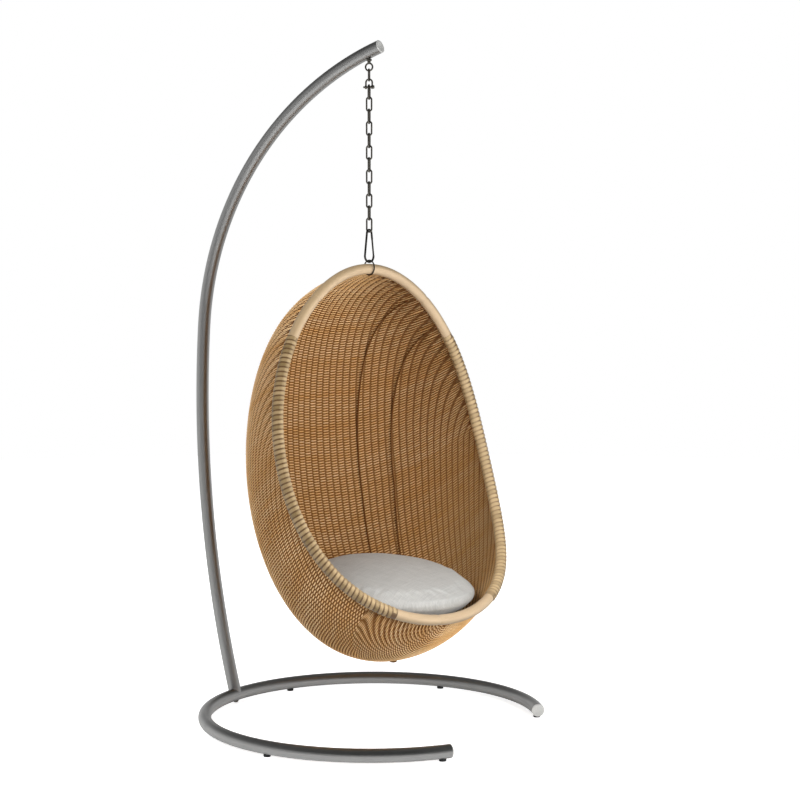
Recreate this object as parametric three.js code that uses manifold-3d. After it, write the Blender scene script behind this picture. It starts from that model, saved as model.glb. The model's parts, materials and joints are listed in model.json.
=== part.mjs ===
// An egg-shaped woven chair that hangs by a chain from a bowed steel stand, +Z up, in millimetres
import * as THREE from 'three';
import { mergeVertices } from 'three/addons/utils/BufferGeometryUtils.js';
import Module from 'manifold-3d';

const wasm = await Module();
wasm.setup();

const degree = Math.PI / 180;
const quarterTurn = Math.PI / 2;
const fullTurn = 2 * Math.PI;

// Fits and cuts
const seatGap = 0.3;
const cutOverrun = 5;

// Steel tube of the stand
const tubeRadius = 19;
const tubeWall = 2;
const tubeSides = 16;
const tubeBore = tubeRadius - tubeWall;

// Base ring, open at the front
const ringRadius = 490;
const ringGapHalfAngle = 34 * degree;
const ringSteps = 30;

// Pads under the ring, spread evenly on each side of the mast
const footRadius = 10;
const footHeight = 6;
const footSaddle = 2.4;
const footSides = 16;
const frontFootAngle = 36.5 * degree;
const rearFootAngle = 153 * degree;
const feetPerSide = 3;
const ringHeight = footHeight + tubeRadius;

// Plugs that close the tube ends
const capThickness = 3;
const plugLength = 12;
const plugClearance = 1.5;

// Mast: two arcs that meet in line, leaning out at the foot and in at the tip
const mastFootLean = 15.1 * degree;
const mastJoinLean = 3.9 * degree;
const mastTipLean = 72.1 * degree;
const mastLowerRadius = 3450;
const mastUpperRadius = 909;
const mastSteps = 19;
const mastFootTrim = 6;

// Screw joint between the ring and the mast's foot
const boltRadius = 4;
const boltHeadRadius = 6.5;
const boltHeadHeight = 3;
const boltReach = 46;
const boltSides = 12;
const washerRadius = 9;
const washerThickness = 1.2;
const footPlugBottom = 20;
const footPlugLength = 28;

// Eye bolt near the mast's tip
const eyeSetback = 38;
const eyeNeckLength = 10;
const eyeWireRadius = 2.5;
const eyeRadius = 10.5;
const eyeShankRadius = 4;
const eyeCollarRadius = 8;
const eyeCollarHeight = 5;
const eyeNutRadius = 8;
const eyeNutHeight = 16;
const eyeSteps = 20;

// Link between the eye and the shackle
const topLinkWireRadius = 2;
const topLinkInnerLength = 30;
const topLinkHalfWidth = 6;

// Shackle and its pin
const shackleWireRadius = 2.5;
const shackleHalfWidth = 9.5;
const shackleDrop = 20;
const shackleEarRadius = 5.5;
const shackleEarThickness = 5;
const pinRadius = 3;
const pinOverhang = 4;
const pinHeadRadius = 5;
const pinHeadHeight = 4;

// Chain
const linkCount = 12;
const linkWireRadius = 2.5;
const linkInnerLength = 35;
const linkHalfWidth = 7.5;
const wireSides = 6;
const bowSteps = 6;
const chainAzimuth = 14 * degree;

// Carabiner: its wire crosses the last link at a slant, so it seats higher to clear the link's sides
const carabinerSeatGap = 1.3;
const carabinerWireRadius = 3;
const carabinerInnerLength = 87.8;
const carabinerTopRadius = 9;
const carabinerBottomRadius = 17;
const carabinerSides = 8;
const carabinerSteps = 26;
const gateRadius = 2.5;
const gateHingeShare = 0.7;
const gateNoseGap = 0.6;
const forkReach = 3;
const forkDepth = 4;
const forkSlot = 2.8;
const tongueThickness = 2;
const tongueReach = 2.5;
const gateShoulder = 4.6;
const gatePinRadius = 1;

// Ring that carries the rim
const hangerRadius = 21.3;
const hangerWireRadius = 2;
const hangerSteps = 24;

// Rim of the pod: a bent pole, seen from its highest point down each side to its lowest
const podAzimuth = -16 * degree;
const poleRadius = 15;
const poleSides = 12;
const rimHeight = 979;
const rimHalfWidth = 396;
const rimReach = 332;
const rimLeanShare = 0.2;
const rimLeanPower = 3.2;
const rimEggShares = [1, -0.1, 0.14, -0.12];
const topSpliceAngle = 35 * degree;
const bottomSpliceAngle = 185 * degree;
const topPoleSteps = 14;
const sidePoleSteps = 32;
const rimLinePoints = 400;

// Peel wound round the sides of the rim
const bindingStart = 53 * degree;
const bindingEnd = 159 * degree;
const bindingInnerRadius = 16.9;
const bindingRadius = 18;
const bindingTurns = 24;
const bindingStepsPerTurn = 10;
const bindingTurnGap = 1.2;

// Woven shell behind the rim
const shellThickness = 7;
const shellDepth = 354;
const shellDrop = 241;
const shellBulgeShares = [1, 0.09, 0.19, 0.09, 0.14];
const shellDropShares = [1, -0.64, 0, -0.2, 0.23];
const shellFullnessPower = 0.9;
const shellSwellShare = 0.03;
const shellTopAngle = 3 * degree;
const shellBottomAngle = 177.6 * degree;
const shellRows = 20;
const shellColumns = 24;
const shellEdgeBlend = 6 * degree;
const shellEdgeGap = 2.2;
const normalStep = 0.02 * degree;
const ringPassGap = 2.5;

// Poles inside the shell
const ribRadius = 5.5;
const ribSides = 6;
const ribSpreadShares = [-0.72, -0.5, 0.5, 0.72];
const ribClearance = 1.3;
const ribEndMargin = 34;
const ribParallelFrom = 90 * degree;
const ribParallelTo = 150 * degree;
const ribLowShare = 0.72;

// Button under the shell's lowest point
const knotRadius = 11;
const knotHeight = 7;
const knotSides = 12;
const knotRoundSteps = 3;

// Loose seat cushion
const cushionForward = 50;
const cushionRadius = 282;
const cushionHeightShare = 0.2116;
const cushionCrown = 62;
const cushionBelly = 92;
const cushionSteps = 48;
const cushionFacetSag = 0.6;
const cushionProfileSteps = 6;
const cushionRoundShare = 0.45;
const cushionPower = 2.3;
const cushionWedge = 0.17;

// Materials
const brushedSteel = new THREE.MeshStandardMaterial({ color: 0x8e8f8f, roughness: 0.42, metalness: 0.9 });
const brightCap = new THREE.MeshStandardMaterial({ color: 0xd8d8d6, roughness: 0.35, metalness: 0.8 });
const chainSteel = new THREE.MeshStandardMaterial({ color: 0x8a8680, roughness: 0.38, metalness: 0.9 });
const darkSteel = new THREE.MeshStandardMaterial({ color: 0x4c4a48, roughness: 0.4, metalness: 0.9 });
const blackRubber = new THREE.MeshStandardMaterial({ color: 0x1c1c1c, roughness: 0.85, metalness: 0 });
const barePole = new THREE.MeshStandardMaterial({ color: 0xd9c096, roughness: 0.5, metalness: 0 });
const woundPeel = new THREE.MeshStandardMaterial({ color: 0xd2b888, roughness: 0.45, metalness: 0 });
const wovenCane = new THREE.MeshStandardMaterial({ color: 0xb8956a, roughness: 0.65, metalness: 0 });
const greyFabric = new THREE.MeshStandardMaterial({ color: 0xb5b5b0, roughness: 0.95, metalness: 0 });

// Closed bodies

function merged(geometry) {
  const copy = geometry.clone();
  copy.deleteAttribute('normal');
  copy.deleteAttribute('uv');
  return mergeVertices(copy);
}

function solidOf(geometry) {
  const body = merged(geometry);
  const vertProperties = new Float32Array(body.attributes.position.array);
  const triVerts = new Uint32Array(body.index.array);
  return new wasm.Manifold(new wasm.Mesh({ numProp: 3, vertProperties, triVerts }));
}

function geometryOf(solid) {
  const { vertProperties, triVerts } = solid.getMesh();
  const geometry = new THREE.BufferGeometry();
  geometry.setAttribute('position', new THREE.BufferAttribute(vertProperties, 3));
  geometry.setIndex(new THREE.BufferAttribute(triVerts, 1));
  return geometry;
}

// Six times the volume that the triangles enclose, negative where they face in
function signedVolume(points, index) {
  let sum = 0;
  for (let i = 0; i < index.length; i += 3) {
    const [a, b, c] = [points[index[i]], points[index[i + 1]], points[index[i + 2]]];
    sum += a.dot(b.clone().cross(c));
  }
  return sum;
}

function bodyOf(points, index) {
  const facing = signedVolume(points, index) < 0 ? index.reverse() : index;
  const geometry = new THREE.BufferGeometry().setFromPoints(points);
  geometry.setIndex(facing);
  return geometry;
}

// Joins rings of points, in a closed loop or with a flat face at each end
function loft(rings, closed) {
  const sides = rings[0].length;
  const index = [];
  const spans = closed ? rings.length : rings.length - 1;
  for (let i = 0; i < spans; i += 1) {
    const here = i * sides;
    const next = ((i + 1) % rings.length) * sides;
    for (let side = 0; side < sides; side += 1) {
      const turn = (side + 1) % sides;
      index.push(here + side, here + turn, next + turn);
      index.push(here + side, next + turn, next + side);
    }
  }
  if (!closed) {
    const last = (rings.length - 1) * sides;
    for (let side = 1; side < sides - 1; side += 1) {
      index.push(0, side + 1, side);
      index.push(last, last + side, last + side + 1);
    }
  }
  return bodyOf(rings.flat(), index);
}

// Closes the space between two grids of points that have the same rows and columns
function slab(outer, inner) {
  const rows = outer.length;
  const columns = outer[0].length;
  const offset = rows * columns;
  const at = (row, column) => row * columns + column;
  const index = [];
  const wall = (a, b) => index.push(a, b, b + offset, a, b + offset, a + offset);
  for (let row = 0; row < rows - 1; row += 1) {
    for (let column = 0; column < columns - 1; column += 1) {
      const [a, b] = [at(row, column), at(row, column + 1)];
      const [c, d] = [at(row + 1, column + 1), at(row + 1, column)];
      index.push(a, c, b, a, d, c);
      index.push(a + offset, b + offset, c + offset, a + offset, c + offset, d + offset);
    }
    wall(at(row + 1, 0), at(row, 0));
    wall(at(row, columns - 1), at(row + 1, columns - 1));
  }
  for (let column = 0; column < columns - 1; column += 1) {
    wall(at(0, column), at(0, column + 1));
    wall(at(rows - 1, column + 1), at(rows - 1, column));
  }
  return bodyOf([...outer.flat(), ...inner.flat()], index);
}

function circlePoints(radius, sides) {
  return Array.from({ length: sides }, (_, side) => {
    const angle = (fullTurn * side) / sides;
    return new THREE.Vector2(radius * Math.cos(angle), radius * Math.sin(angle));
  });
}

// A flat outline carried into space by a placing function
class PlacedPath extends THREE.Curve {
  constructor(outline, place) {
    super();
    this.outline = outline;
    this.place = place;
  }

  getPoint(share, target = new THREE.Vector3()) {
    return target.copy(this.place(this.outline.getPoint(share)));
  }
}

const upright = (point) => new THREE.Vector3(point.x, 0, point.y);

function sweep(path, radius, sides, steps, bore = 0) {
  const section = new THREE.Shape(circlePoints(radius, sides));
  if (bore > 0) section.holes.push(new THREE.Path(circlePoints(bore, sides)));
  return new THREE.ExtrudeGeometry(section, { steps, extrudePath: path });
}

// A rod along +Z
function rod(radius, bottom, top, sides) {
  const geometry = new THREE.CylinderGeometry(radius, radius, top - bottom, sides);
  geometry.rotateX(quarterTurn);
  geometry.translate(0, 0, (top + bottom) / 2);
  return geometry;
}

// A rod along X, the pins' direction in an upright outline
function crossRod(radius, left, right, sides) {
  const geometry = rod(radius, left, right, sides);
  geometry.rotateY(quarterTurn);
  return geometry;
}

// Stand

const ringOutline = new THREE.Path();
ringOutline.absarc(0, 0, ringRadius, ringGapHalfAngle, fullTurn - ringGapHalfAngle);
const ringPath = new PlacedPath(ringOutline, (point) => new THREE.Vector3(point.x, point.y, ringHeight));

// The mast lies in the XZ plane, with its foot over the back of the ring
const mastLowerCentre = new THREE.Vector2(
  mastLowerRadius * Math.cos(mastFootLean) - ringRadius,
  ringHeight + mastLowerRadius * Math.sin(mastFootLean),
);
const mastUpperCentre = new THREE.Vector2(
  mastLowerCentre.x - (mastLowerRadius - mastUpperRadius) * Math.cos(mastJoinLean),
  mastLowerCentre.y + (mastLowerRadius - mastUpperRadius) * Math.sin(mastJoinLean),
);
const mastOutline = new THREE.Path();
mastOutline.absarc(
  mastLowerCentre.x, mastLowerCentre.y, mastLowerRadius,
  Math.PI + mastFootLean, Math.PI - mastJoinLean, true,
);
mastOutline.absarc(
  mastUpperCentre.x, mastUpperCentre.y, mastUpperRadius,
  Math.PI - mastJoinLean, Math.PI - mastTipLean, true,
);
const mastPath = new PlacedPath(mastOutline, upright);

// Where the eye bolt hangs on the mast
const hangLean = mastTipLean - eyeSetback / mastUpperRadius;
const hangReach = mastUpperCentre.x - mastUpperRadius * Math.cos(hangLean);
const hangHeight = mastUpperCentre.y + mastUpperRadius * Math.sin(hangLean);
const mastUnderside = hangHeight - tubeRadius / Math.sin(hangLean);
const eyeHeight = mastUnderside - eyeNeckLength - eyeRadius - eyeWireRadius;

function ringCutter() {
  return solidOf(sweep(ringPath, tubeRadius + seatGap, tubeSides, ringSteps));
}

function mastCutter(radius) {
  return solidOf(sweep(mastPath, radius, tubeSides, mastSteps));
}

const boltHole = () => solidOf(rod(boltRadius + seatGap, 0, boltReach + cutOverrun, boltSides));

function baseRing() {
  const tube = solidOf(sweep(ringPath, tubeRadius, tubeSides, ringSteps, tubeBore));
  return geometryOf(tube.subtract(boltHole().translate([-ringRadius, 0, 0])));
}

function mast() {
  const tube = solidOf(sweep(mastPath, tubeRadius, tubeSides, mastSteps, tubeBore));
  const eyeHole = rod(eyeShankRadius + seatGap, hangHeight - eyeNutHeight, hangHeight, boltSides);
  const eyeCut = solidOf(eyeHole.translate(hangReach, 0, -tubeRadius / 2));
  const footRod = rod(2 * tubeRadius, 0, ringHeight + mastFootTrim, tubeSides);
  const footCut = solidOf(footRod.translate(-ringRadius, 0, 0));
  return geometryOf(tube.subtract(ringCutter()).subtract(footCut).subtract(eyeCut));
}

// A disc with a plug behind it, for a tube end whose inside lies along the given direction
function tubeCap(direction) {
  const plugRadius = tubeBore * Math.cos(Math.PI / tubeSides) - plugClearance;
  const profile = [
    new THREE.Vector2(0, -capThickness - seatGap),
    new THREE.Vector2(tubeRadius, -capThickness - seatGap),
    new THREE.Vector2(tubeRadius, -seatGap),
    new THREE.Vector2(plugRadius, -seatGap),
    new THREE.Vector2(plugRadius, plugLength),
    new THREE.Vector2(0, plugLength),
  ];
  const geometry = new THREE.LatheGeometry(profile, tubeSides);
  const turn = new THREE.Quaternion().setFromUnitVectors(new THREE.Vector3(0, 1, 0), direction);
  return geometry.applyQuaternion(turn);
}

function foot() {
  return rod(footRadius, 0, footHeight + footSaddle, footSides);
}

function copedFoot(angle) {
  const place = [ringRadius * Math.cos(angle), ringRadius * Math.sin(angle), 0];
  const coped = solidOf(foot()).translate(place).subtract(ringCutter());
  return geometryOf(coped.translate(place.map((value) => -value)));
}

// The screw stands on the ring's centre line under the mast, its head clear of the floor
function mastBolt() {
  const headTop = footHeight - washerThickness - 2 * seatGap;
  const head = solidOf(rod(boltHeadRadius, headTop - boltHeadHeight, headTop, boltSides));
  const shank = solidOf(rod(boltRadius, headTop - boltHeadHeight, boltReach, boltSides));
  return geometryOf(head.add(shank));
}

function mastWasher() {
  const bottom = footHeight - washerThickness - seatGap;
  const disc = solidOf(rod(washerRadius, bottom, footHeight + footSaddle, boltSides));
  const coped = disc.subtract(boltHole()).translate([-ringRadius, 0, 0]).subtract(ringCutter());
  return geometryOf(coped.translate([ringRadius, 0, 0]));
}

// A plug inside the mast's foot, threaded for the screw
function mastFootPlug() {
  const bottom = ringHeight + footPlugBottom;
  const block = solidOf(rod(tubeRadius, bottom, bottom + footPlugLength, tubeSides));
  const lean = (footPlugBottom + footPlugLength / 2) * Math.tan(mastFootLean);
  const inside = mastCutter(tubeBore - seatGap).translate([ringRadius, 0, 0]);
  return geometryOf(block.translate([-lean, 0, 0]).intersect(inside).subtract(boltHole()));
}

// Modelled about the eye's centre, with the mast cut away from the collar
function eyeBolt() {
  const eye = new THREE.TorusGeometry(eyeRadius, eyeWireRadius, carabinerSides, eyeSteps);
  eye.rotateX(quarterTurn);
  const neckBottom = eyeRadius - eyeWireRadius / 2;
  const collarTop = mastUnderside - eyeHeight + eyeCollarHeight;
  const collarBottom = collarTop - 2 * eyeCollarHeight;
  const top = hangHeight - eyeHeight + eyeNutHeight / 2;
  const mastAbout = mastCutter(tubeRadius + seatGap)
    .translate([-hangReach, 0, -eyeHeight])
    .rotate([0, 0, -chainAzimuth / degree]);
  const collar = solidOf(rod(eyeCollarRadius, collarBottom, collarTop, boltSides)).subtract(mastAbout);
  const shank = solidOf(rod(eyeShankRadius, neckBottom, top, boltSides));
  return geometryOf(solidOf(eye).add(shank).add(collar));
}

// Nut that holds the eye bolt inside the mast, shaped to the wall it stands on
function eyeNut() {
  const bottom = mastUnderside - eyeHeight - eyeCollarHeight;
  const block = solidOf(rod(eyeNutRadius, bottom, hangHeight - eyeHeight + eyeNutHeight / 2, boltSides));
  const shank = solidOf(rod(eyeShankRadius + seatGap, bottom, hangHeight, boltSides));
  const inside = mastCutter(tubeBore - seatGap).translate([-hangReach, 0, -eyeHeight]);
  return geometryOf(block.intersect(inside).subtract(shank));
}

// Chain gear: each piece is modelled about the wire that it hangs on

// A loop of wire with two bows and straight sides, its top inside resting over the wire at the origin
function wireLoop(seat, innerLength, halfWidth, wireRadius) {
  const rings = [];
  const top = seat + wireRadius - halfWidth;
  const bottom = seat - innerLength - wireRadius + halfWidth;
  for (const [centre, start] of [[top, 0], [bottom, Math.PI]]) {
    for (let step = 0; step <= bowSteps; step += 1) {
      const angle = start + (Math.PI * step) / bowSteps;
      const out = new THREE.Vector3(Math.cos(angle), 0, Math.sin(angle));
      const middle = out.clone().multiplyScalar(halfWidth).setZ(centre + halfWidth * Math.sin(angle));
      rings.push(
        circlePoints(wireRadius, wireSides).map((point) => new THREE.Vector3()
          .addScaledVector(out, point.x)
          .add(new THREE.Vector3(0, point.y, 0))
          .add(middle)),
      );
    }
  }
  return loft(rings, true);
}

const topLinkSeat = eyeWireRadius + seatGap;
const topLink = () => wireLoop(topLinkSeat, topLinkInnerLength, topLinkHalfWidth, topLinkWireRadius);
const topLinkDrop = topLinkInnerLength + topLinkWireRadius - topLinkSeat;

// The bow's top inside rests over the top link's wire, and the pin closes its legs below
const shackleSeat = topLinkWireRadius + seatGap;
const shacklePinDrop = shackleDrop - shackleSeat;
const shackleEarOuter = shackleHalfWidth + shackleEarThickness / 2;

function shackle() {
  const bend = shackleSeat + shackleWireRadius - shackleHalfWidth;
  const outline = new THREE.Path();
  outline.moveTo(-shackleHalfWidth, -shacklePinDrop);
  outline.lineTo(-shackleHalfWidth, bend);
  outline.absarc(0, bend, shackleHalfWidth, Math.PI, 0, true);
  outline.lineTo(shackleHalfWidth, -shacklePinDrop);
  let body = solidOf(sweep(new PlacedPath(outline, upright), shackleWireRadius, carabinerSides, boltSides));
  for (const side of [-1, 1]) {
    const centre = side * shackleHalfWidth;
    const half = shackleEarThickness / 2;
    const ear = crossRod(shackleEarRadius, centre - half, centre + half, boltSides);
    body = body.add(solidOf(ear.translate(0, 0, -shacklePinDrop)));
  }
  const holeEnd = shackleEarOuter + cutOverrun;
  const hole = crossRod(pinRadius + seatGap, -holeEnd, holeEnd, boltSides);
  return geometryOf(body.subtract(solidOf(hole.translate(0, 0, -shacklePinDrop))));
}

function shacklePin() {
  const headFace = -shackleEarOuter - seatGap;
  const headEnd = headFace - pinHeadHeight;
  const shank = solidOf(crossRod(pinRadius, headEnd, shackleEarOuter + pinOverhang, boltSides));
  const head = solidOf(crossRod(pinHeadRadius, headEnd, headFace, boltSides));
  return geometryOf(shank.add(head).translate([0, 0, -shacklePinDrop]));
}

const firstLinkSeat = pinRadius + seatGap;
const linkSeat = linkWireRadius + seatGap;
const chainLink = (seat) => wireLoop(seat, linkInnerLength, linkHalfWidth, linkWireRadius);
const linkDrop = (seat) => linkInnerLength + linkWireRadius - seat;

// Carabiner: a large bow below, a small one above, joined by straight sides of which one holds the gate
const carabinerSeat = linkWireRadius + carabinerSeatGap;
const carabinerTop = carabinerSeat + carabinerWireRadius - carabinerTopRadius;
const carabinerBottom = carabinerSeat - carabinerInnerLength - carabinerWireRadius + carabinerBottomRadius;
const carabinerTaper = Math.asin(
  (carabinerBottomRadius - carabinerTopRadius) / (carabinerTop - carabinerBottom),
);
const gateSide = new THREE.Vector2(Math.cos(carabinerTaper), Math.sin(carabinerTaper));
const noseEnd = gateSide.clone().multiplyScalar(carabinerBottomRadius).setY(
  carabinerBottom + carabinerBottomRadius * gateSide.y,
);
const sideTop = gateSide.clone().multiplyScalar(carabinerTopRadius).setY(
  carabinerTop + carabinerTopRadius * gateSide.y,
);
const gateHinge = noseEnd.clone().lerp(sideTop, gateHingeShare);
const gateLength = gateHinge.distanceTo(noseEnd);

// Moves a piece modelled along -Z from the gate's hinge onto the slanted side
function ontoGateSide(geometry) {
  geometry.rotateY(-carabinerTaper);
  return geometry.translate(gateHinge.x, 0, gateHinge.y);
}

function carabiner() {
  const outline = new THREE.Path();
  const end = gateHinge.clone().add(new THREE.Vector2(gateSide.y, -gateSide.x).multiplyScalar(forkReach));
  outline.absarc(0, carabinerBottom, carabinerBottomRadius, carabinerTaper, -Math.PI - carabinerTaper, true);
  outline.absarc(0, carabinerTop, carabinerTopRadius, Math.PI - carabinerTaper, carabinerTaper, true);
  outline.lineTo(end.x, end.y);
  const body = solidOf(
    sweep(new PlacedPath(outline, upright), carabinerWireRadius, carabinerSides, carabinerSteps),
  );
  const slot = new THREE.BoxGeometry(2 * carabinerBottomRadius, forkSlot, forkReach + forkDepth + cutOverrun);
  slot.translate(0, 0, (forkDepth - forkReach - cutOverrun) / 2);
  const hole = rod(gatePinRadius + seatGap, -cutOverrun, cutOverrun, boltSides).rotateX(quarterTurn);
  return geometryOf(body.subtract(solidOf(ontoGateSide(slot))).subtract(solidOf(ontoGateSide(hole))));
}

// The gate swings inwards about its pin and stops just short of the nose
function carabinerGate() {
  const length = gateLength - gateNoseGap;
  const bar = solidOf(rod(gateRadius, -length, -gateShoulder, carabinerSides));
  const tongueLength = tongueReach + gateShoulder + gateRadius;
  const tongue = new THREE.BoxGeometry(2 * tongueReach, tongueThickness, tongueLength);
  tongue.translate(0, 0, (tongueReach - gateShoulder - gateRadius) / 2);
  const hole = rod(gatePinRadius + seatGap, -cutOverrun, cutOverrun, boltSides).rotateX(quarterTurn);
  const gate = geometryOf(bar.add(solidOf(tongue)).subtract(solidOf(hole)));
  return gate.rotateY(-carabinerTaper);
}

function gatePin() {
  return rod(gatePinRadius, -carabinerWireRadius, carabinerWireRadius, boltSides).rotateX(quarterTurn);
}

// Hanger ring, square to the rim's pole that it carries
const carabinerFloor = carabinerSeat - carabinerInnerLength;
const hangerCentreDrop = -carabinerFloor + hangerRadius - hangerWireRadius - seatGap;
const poleDrop = hangerRadius - hangerWireRadius - seatGap - poleRadius;

function hangerRing() {
  const ring = new THREE.TorusGeometry(hangerRadius, hangerWireRadius, carabinerSides, hangerSteps);
  return ring.rotateX(quarterTurn);
}

// Pod: X forward, Y to the sitter's left, origin on the rim pole's highest point

const shareSum = (shares, value) => shares.reduceRight((sum, share) => sum * value + share, 0);

// The rim's centre line at an angle from the top, positive down the left side
function rimPoint(angle) {
  const fall = (1 - Math.cos(angle)) / 2;
  return new THREE.Vector3(
    rimReach * (rimLeanShare * fall + (1 - rimLeanShare) * fall ** rimLeanPower),
    rimHalfWidth * Math.sin(angle) * shareSum(rimEggShares, Math.cos(angle)),
    -rimHeight * fall,
  );
}

class RimPath extends THREE.Curve {
  constructor(start, end) {
    super();
    this.start = start;
    this.end = end;
  }

  angleAt(lengthShare) {
    return THREE.MathUtils.lerp(this.start, this.end, this.getUtoTmapping(lengthShare));
  }

  getPoint(share, target = new THREE.Vector3()) {
    return target.copy(rimPoint(THREE.MathUtils.lerp(this.start, this.end, share)));
  }
}

const spliceTrim = seatGap / rimHeight;

function rimPole(start, end, steps) {
  const trim = Math.sign(end - start) * spliceTrim;
  return sweep(new RimPath(start + trim, end - trim), poleRadius, poleSides, steps);
}

// A flat strip wound along one side of the rim in one unbroken run
function rimBinding(name, side) {
  const path = new RimPath(side * bindingStart, side * bindingEnd);
  const length = path.getLength();
  const pitch = (length + bindingTurnGap) / (bindingTurns + 1);
  const around = (distance, turn, radius) => {
    const share = distance / length;
    const along = path.getTangentAt(share);
    const ahead = new THREE.Vector3(1, 0, 0).addScaledVector(along, -along.x).normalize();
    const across = along.clone().cross(ahead);
    return rimPoint(path.angleAt(share))
      .addScaledVector(ahead, radius * Math.cos(turn))
      .addScaledVector(across, radius * Math.sin(turn));
  };
  const grid = (radius) => Array.from({ length: bindingTurns * bindingStepsPerTurn + 1 }, (_, step) => {
    const turns = step / bindingStepsPerTurn;
    const start = turns * pitch;
    return [start, start + pitch - bindingTurnGap].map(
      (distance) => around(Math.min(distance, length), turns * fullTurn, radius),
    );
  });
  const [outer, inner] = [grid(bindingRadius), grid(bindingInnerRadius)];
  const gaps = [outer, inner].flatMap((rows) => rows
    .slice(bindingStepsPerTurn)
    .map((row, step) => row[0].distanceTo(rows[step][1])));
  console.log(`${name}: least gap between turns ${Math.min(...gaps).toFixed(2)} mm`);
  return slab(outer, inner);
}

// A point of the shell's outside, at an angle from the rim's top and an angle to the left of its middle
function shellPoint(angle, side) {
  const rim = rimPoint(angle);
  const depth = Math.sin(angle) * Math.cos(side) ** shellFullnessPower;
  return new THREE.Vector3(
    rim.x - shellDepth * depth * shareSum(shellBulgeShares, Math.cos(angle)),
    rim.y * Math.sin(side) * (1 + shellSwellShare * Math.cos(side)),
    rim.z - shellDrop * depth * shareSum(shellDropShares, Math.cos(angle)),
  );
}

function shellInward(angle, side) {
  const down = shellPoint(angle + normalStep, side).sub(shellPoint(angle - normalStep, side));
  const left = shellPoint(angle, side + normalStep).sub(shellPoint(angle, side - normalStep));
  return down.cross(left).normalize();
}

function shellAt(angle, side, depth) {
  return shellPoint(angle, side).addScaledVector(shellInward(angle, side), depth);
}

const rimLine = new RimPath(-Math.PI, Math.PI).getPoints(rimLinePoints);

function rimDistance(point) {
  const nearest = new THREE.Vector3();
  const distances = rimLine.slice(1).map((end, i) => new THREE.Line3(rimLine[i], end)
    .closestPointToPoint(point, true, nearest)
    .distanceTo(point));
  return Math.min(...distances);
}

// How far the shell's edge stays from the rim's centre line: over the binding or the bare pole
function edgeDistance(angle) {
  const { smoothstep } = THREE.MathUtils;
  const bound = smoothstep(angle, bindingStart - shellEdgeBlend, bindingStart)
    * (1 - smoothstep(angle, bindingEnd, bindingEnd + shellEdgeBlend));
  return THREE.MathUtils.lerp(poleRadius, bindingRadius, bound) + shellEdgeGap;
}

// The side angle at which the shell meets the rim, by halving
function shellEdge(angle) {
  let [inside, outside] = [0, quarterTurn];
  while (outside - inside > normalStep) {
    const middle = (inside + outside) / 2;
    if (rimDistance(shellPoint(angle, middle)) > edgeDistance(angle)) inside = middle;
    else outside = middle;
  }
  return inside;
}

const shellAngles = Array.from({ length: shellRows + 1 }, (_, row) => {
  const share = (1 - Math.cos((Math.PI * row) / shellRows)) / 2;
  return THREE.MathUtils.lerp(shellTopAngle, shellBottomAngle, share);
});
const shellEdges = shellAngles.map(shellEdge);

function wovenShell() {
  const grid = (depth) => shellAngles.map((angle, row) => Array.from(
    { length: shellColumns + 1 },
    (_, column) => shellAt(angle, shellEdges[row] * ((2 * column) / shellColumns - 1), depth),
  ));
  const pass = hangerWireRadius + ringPassGap;
  const slot = rod(hangerRadius + pass, -pass, pass, hangerSteps).rotateX(quarterTurn);
  const whole = solidOf(slab(grid(0), grid(shellThickness)));
  return geometryOf(whole.subtract(solidOf(slot.translate(0, 0, poleDrop))));
}

// A rib runs straight up in the upper half, and draws in toward the middle below that
function rib(spreadShare) {
  const stations = shellAngles.flatMap((angle, row) => {
    const parallel = THREE.MathUtils.clamp(angle, ribParallelFrom, ribParallelTo);
    const drawnIn = THREE.MathUtils.mapLinear(parallel, ribParallelFrom, ribParallelTo, 1, ribLowShare);
    const width = spreadShare * drawnIn * rimPoint(parallel).y;
    const edge = rimPoint(angle).y * Math.sin(shellEdges[row]) - ribEndMargin;
    return Math.abs(width) < edge ? [[angle, Math.asin(width / rimPoint(angle).y)]] : [];
  });
  const depth = shellThickness + ribClearance + ribRadius;
  const middles = stations.map(([angle, side]) => shellAt(angle, side, depth));
  const rings = stations.map(([angle, side], i) => {
    const before = middles[Math.max(i - 1, 0)];
    const after = middles[Math.min(i + 1, middles.length - 1)];
    const along = after.clone().sub(before).normalize();
    const across = along.clone().cross(shellInward(angle, side)).normalize();
    const inward = across.clone().cross(along);
    return circlePoints(ribRadius, ribSides).map((point) => middles[i].clone()
      .addScaledVector(inward, point.x)
      .addScaledVector(across, point.y));
  });
  return loft(rings, false);
}

const lowestShellAngle = shellAngles.reduce((lowest, angle) => (
  shellPoint(angle, 0).z < shellPoint(lowest, 0).z ? angle : lowest
), 0);
const lowestShellPoint = shellPoint(lowestShellAngle, 0);

function baseKnot() {
  const outline = new THREE.Path();
  outline.absellipse(0, 0, knotRadius, knotHeight, -quarterTurn, 0);
  const profile = [...outline.getPoints(knotRoundSteps), new THREE.Vector2(0, 0)];
  return new THREE.LatheGeometry(profile, knotSides).rotateX(quarterTurn);
}

const cushionHeight = lowestShellPoint.z + cushionHeightShare * rimHeight;

// Cushion: crowned above, thicker behind, bellied below, drawn in round its edge and pressed into the bowl
function cushionProfile() {
  const half = (height) => Array.from({ length: cushionProfileSteps + 1 }, (_, step) => {
    const angle = (quarterTurn * step) / cushionProfileSteps;
    const power = 2 / cushionPower;
    return new THREE.Vector2(Math.sin(angle) ** power, height * Math.cos(angle) ** power);
  });
  const belly = half(-cushionBelly);
  const crown = half(cushionCrown).reverse().slice(1);
  return [...belly, ...crown];
}

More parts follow.
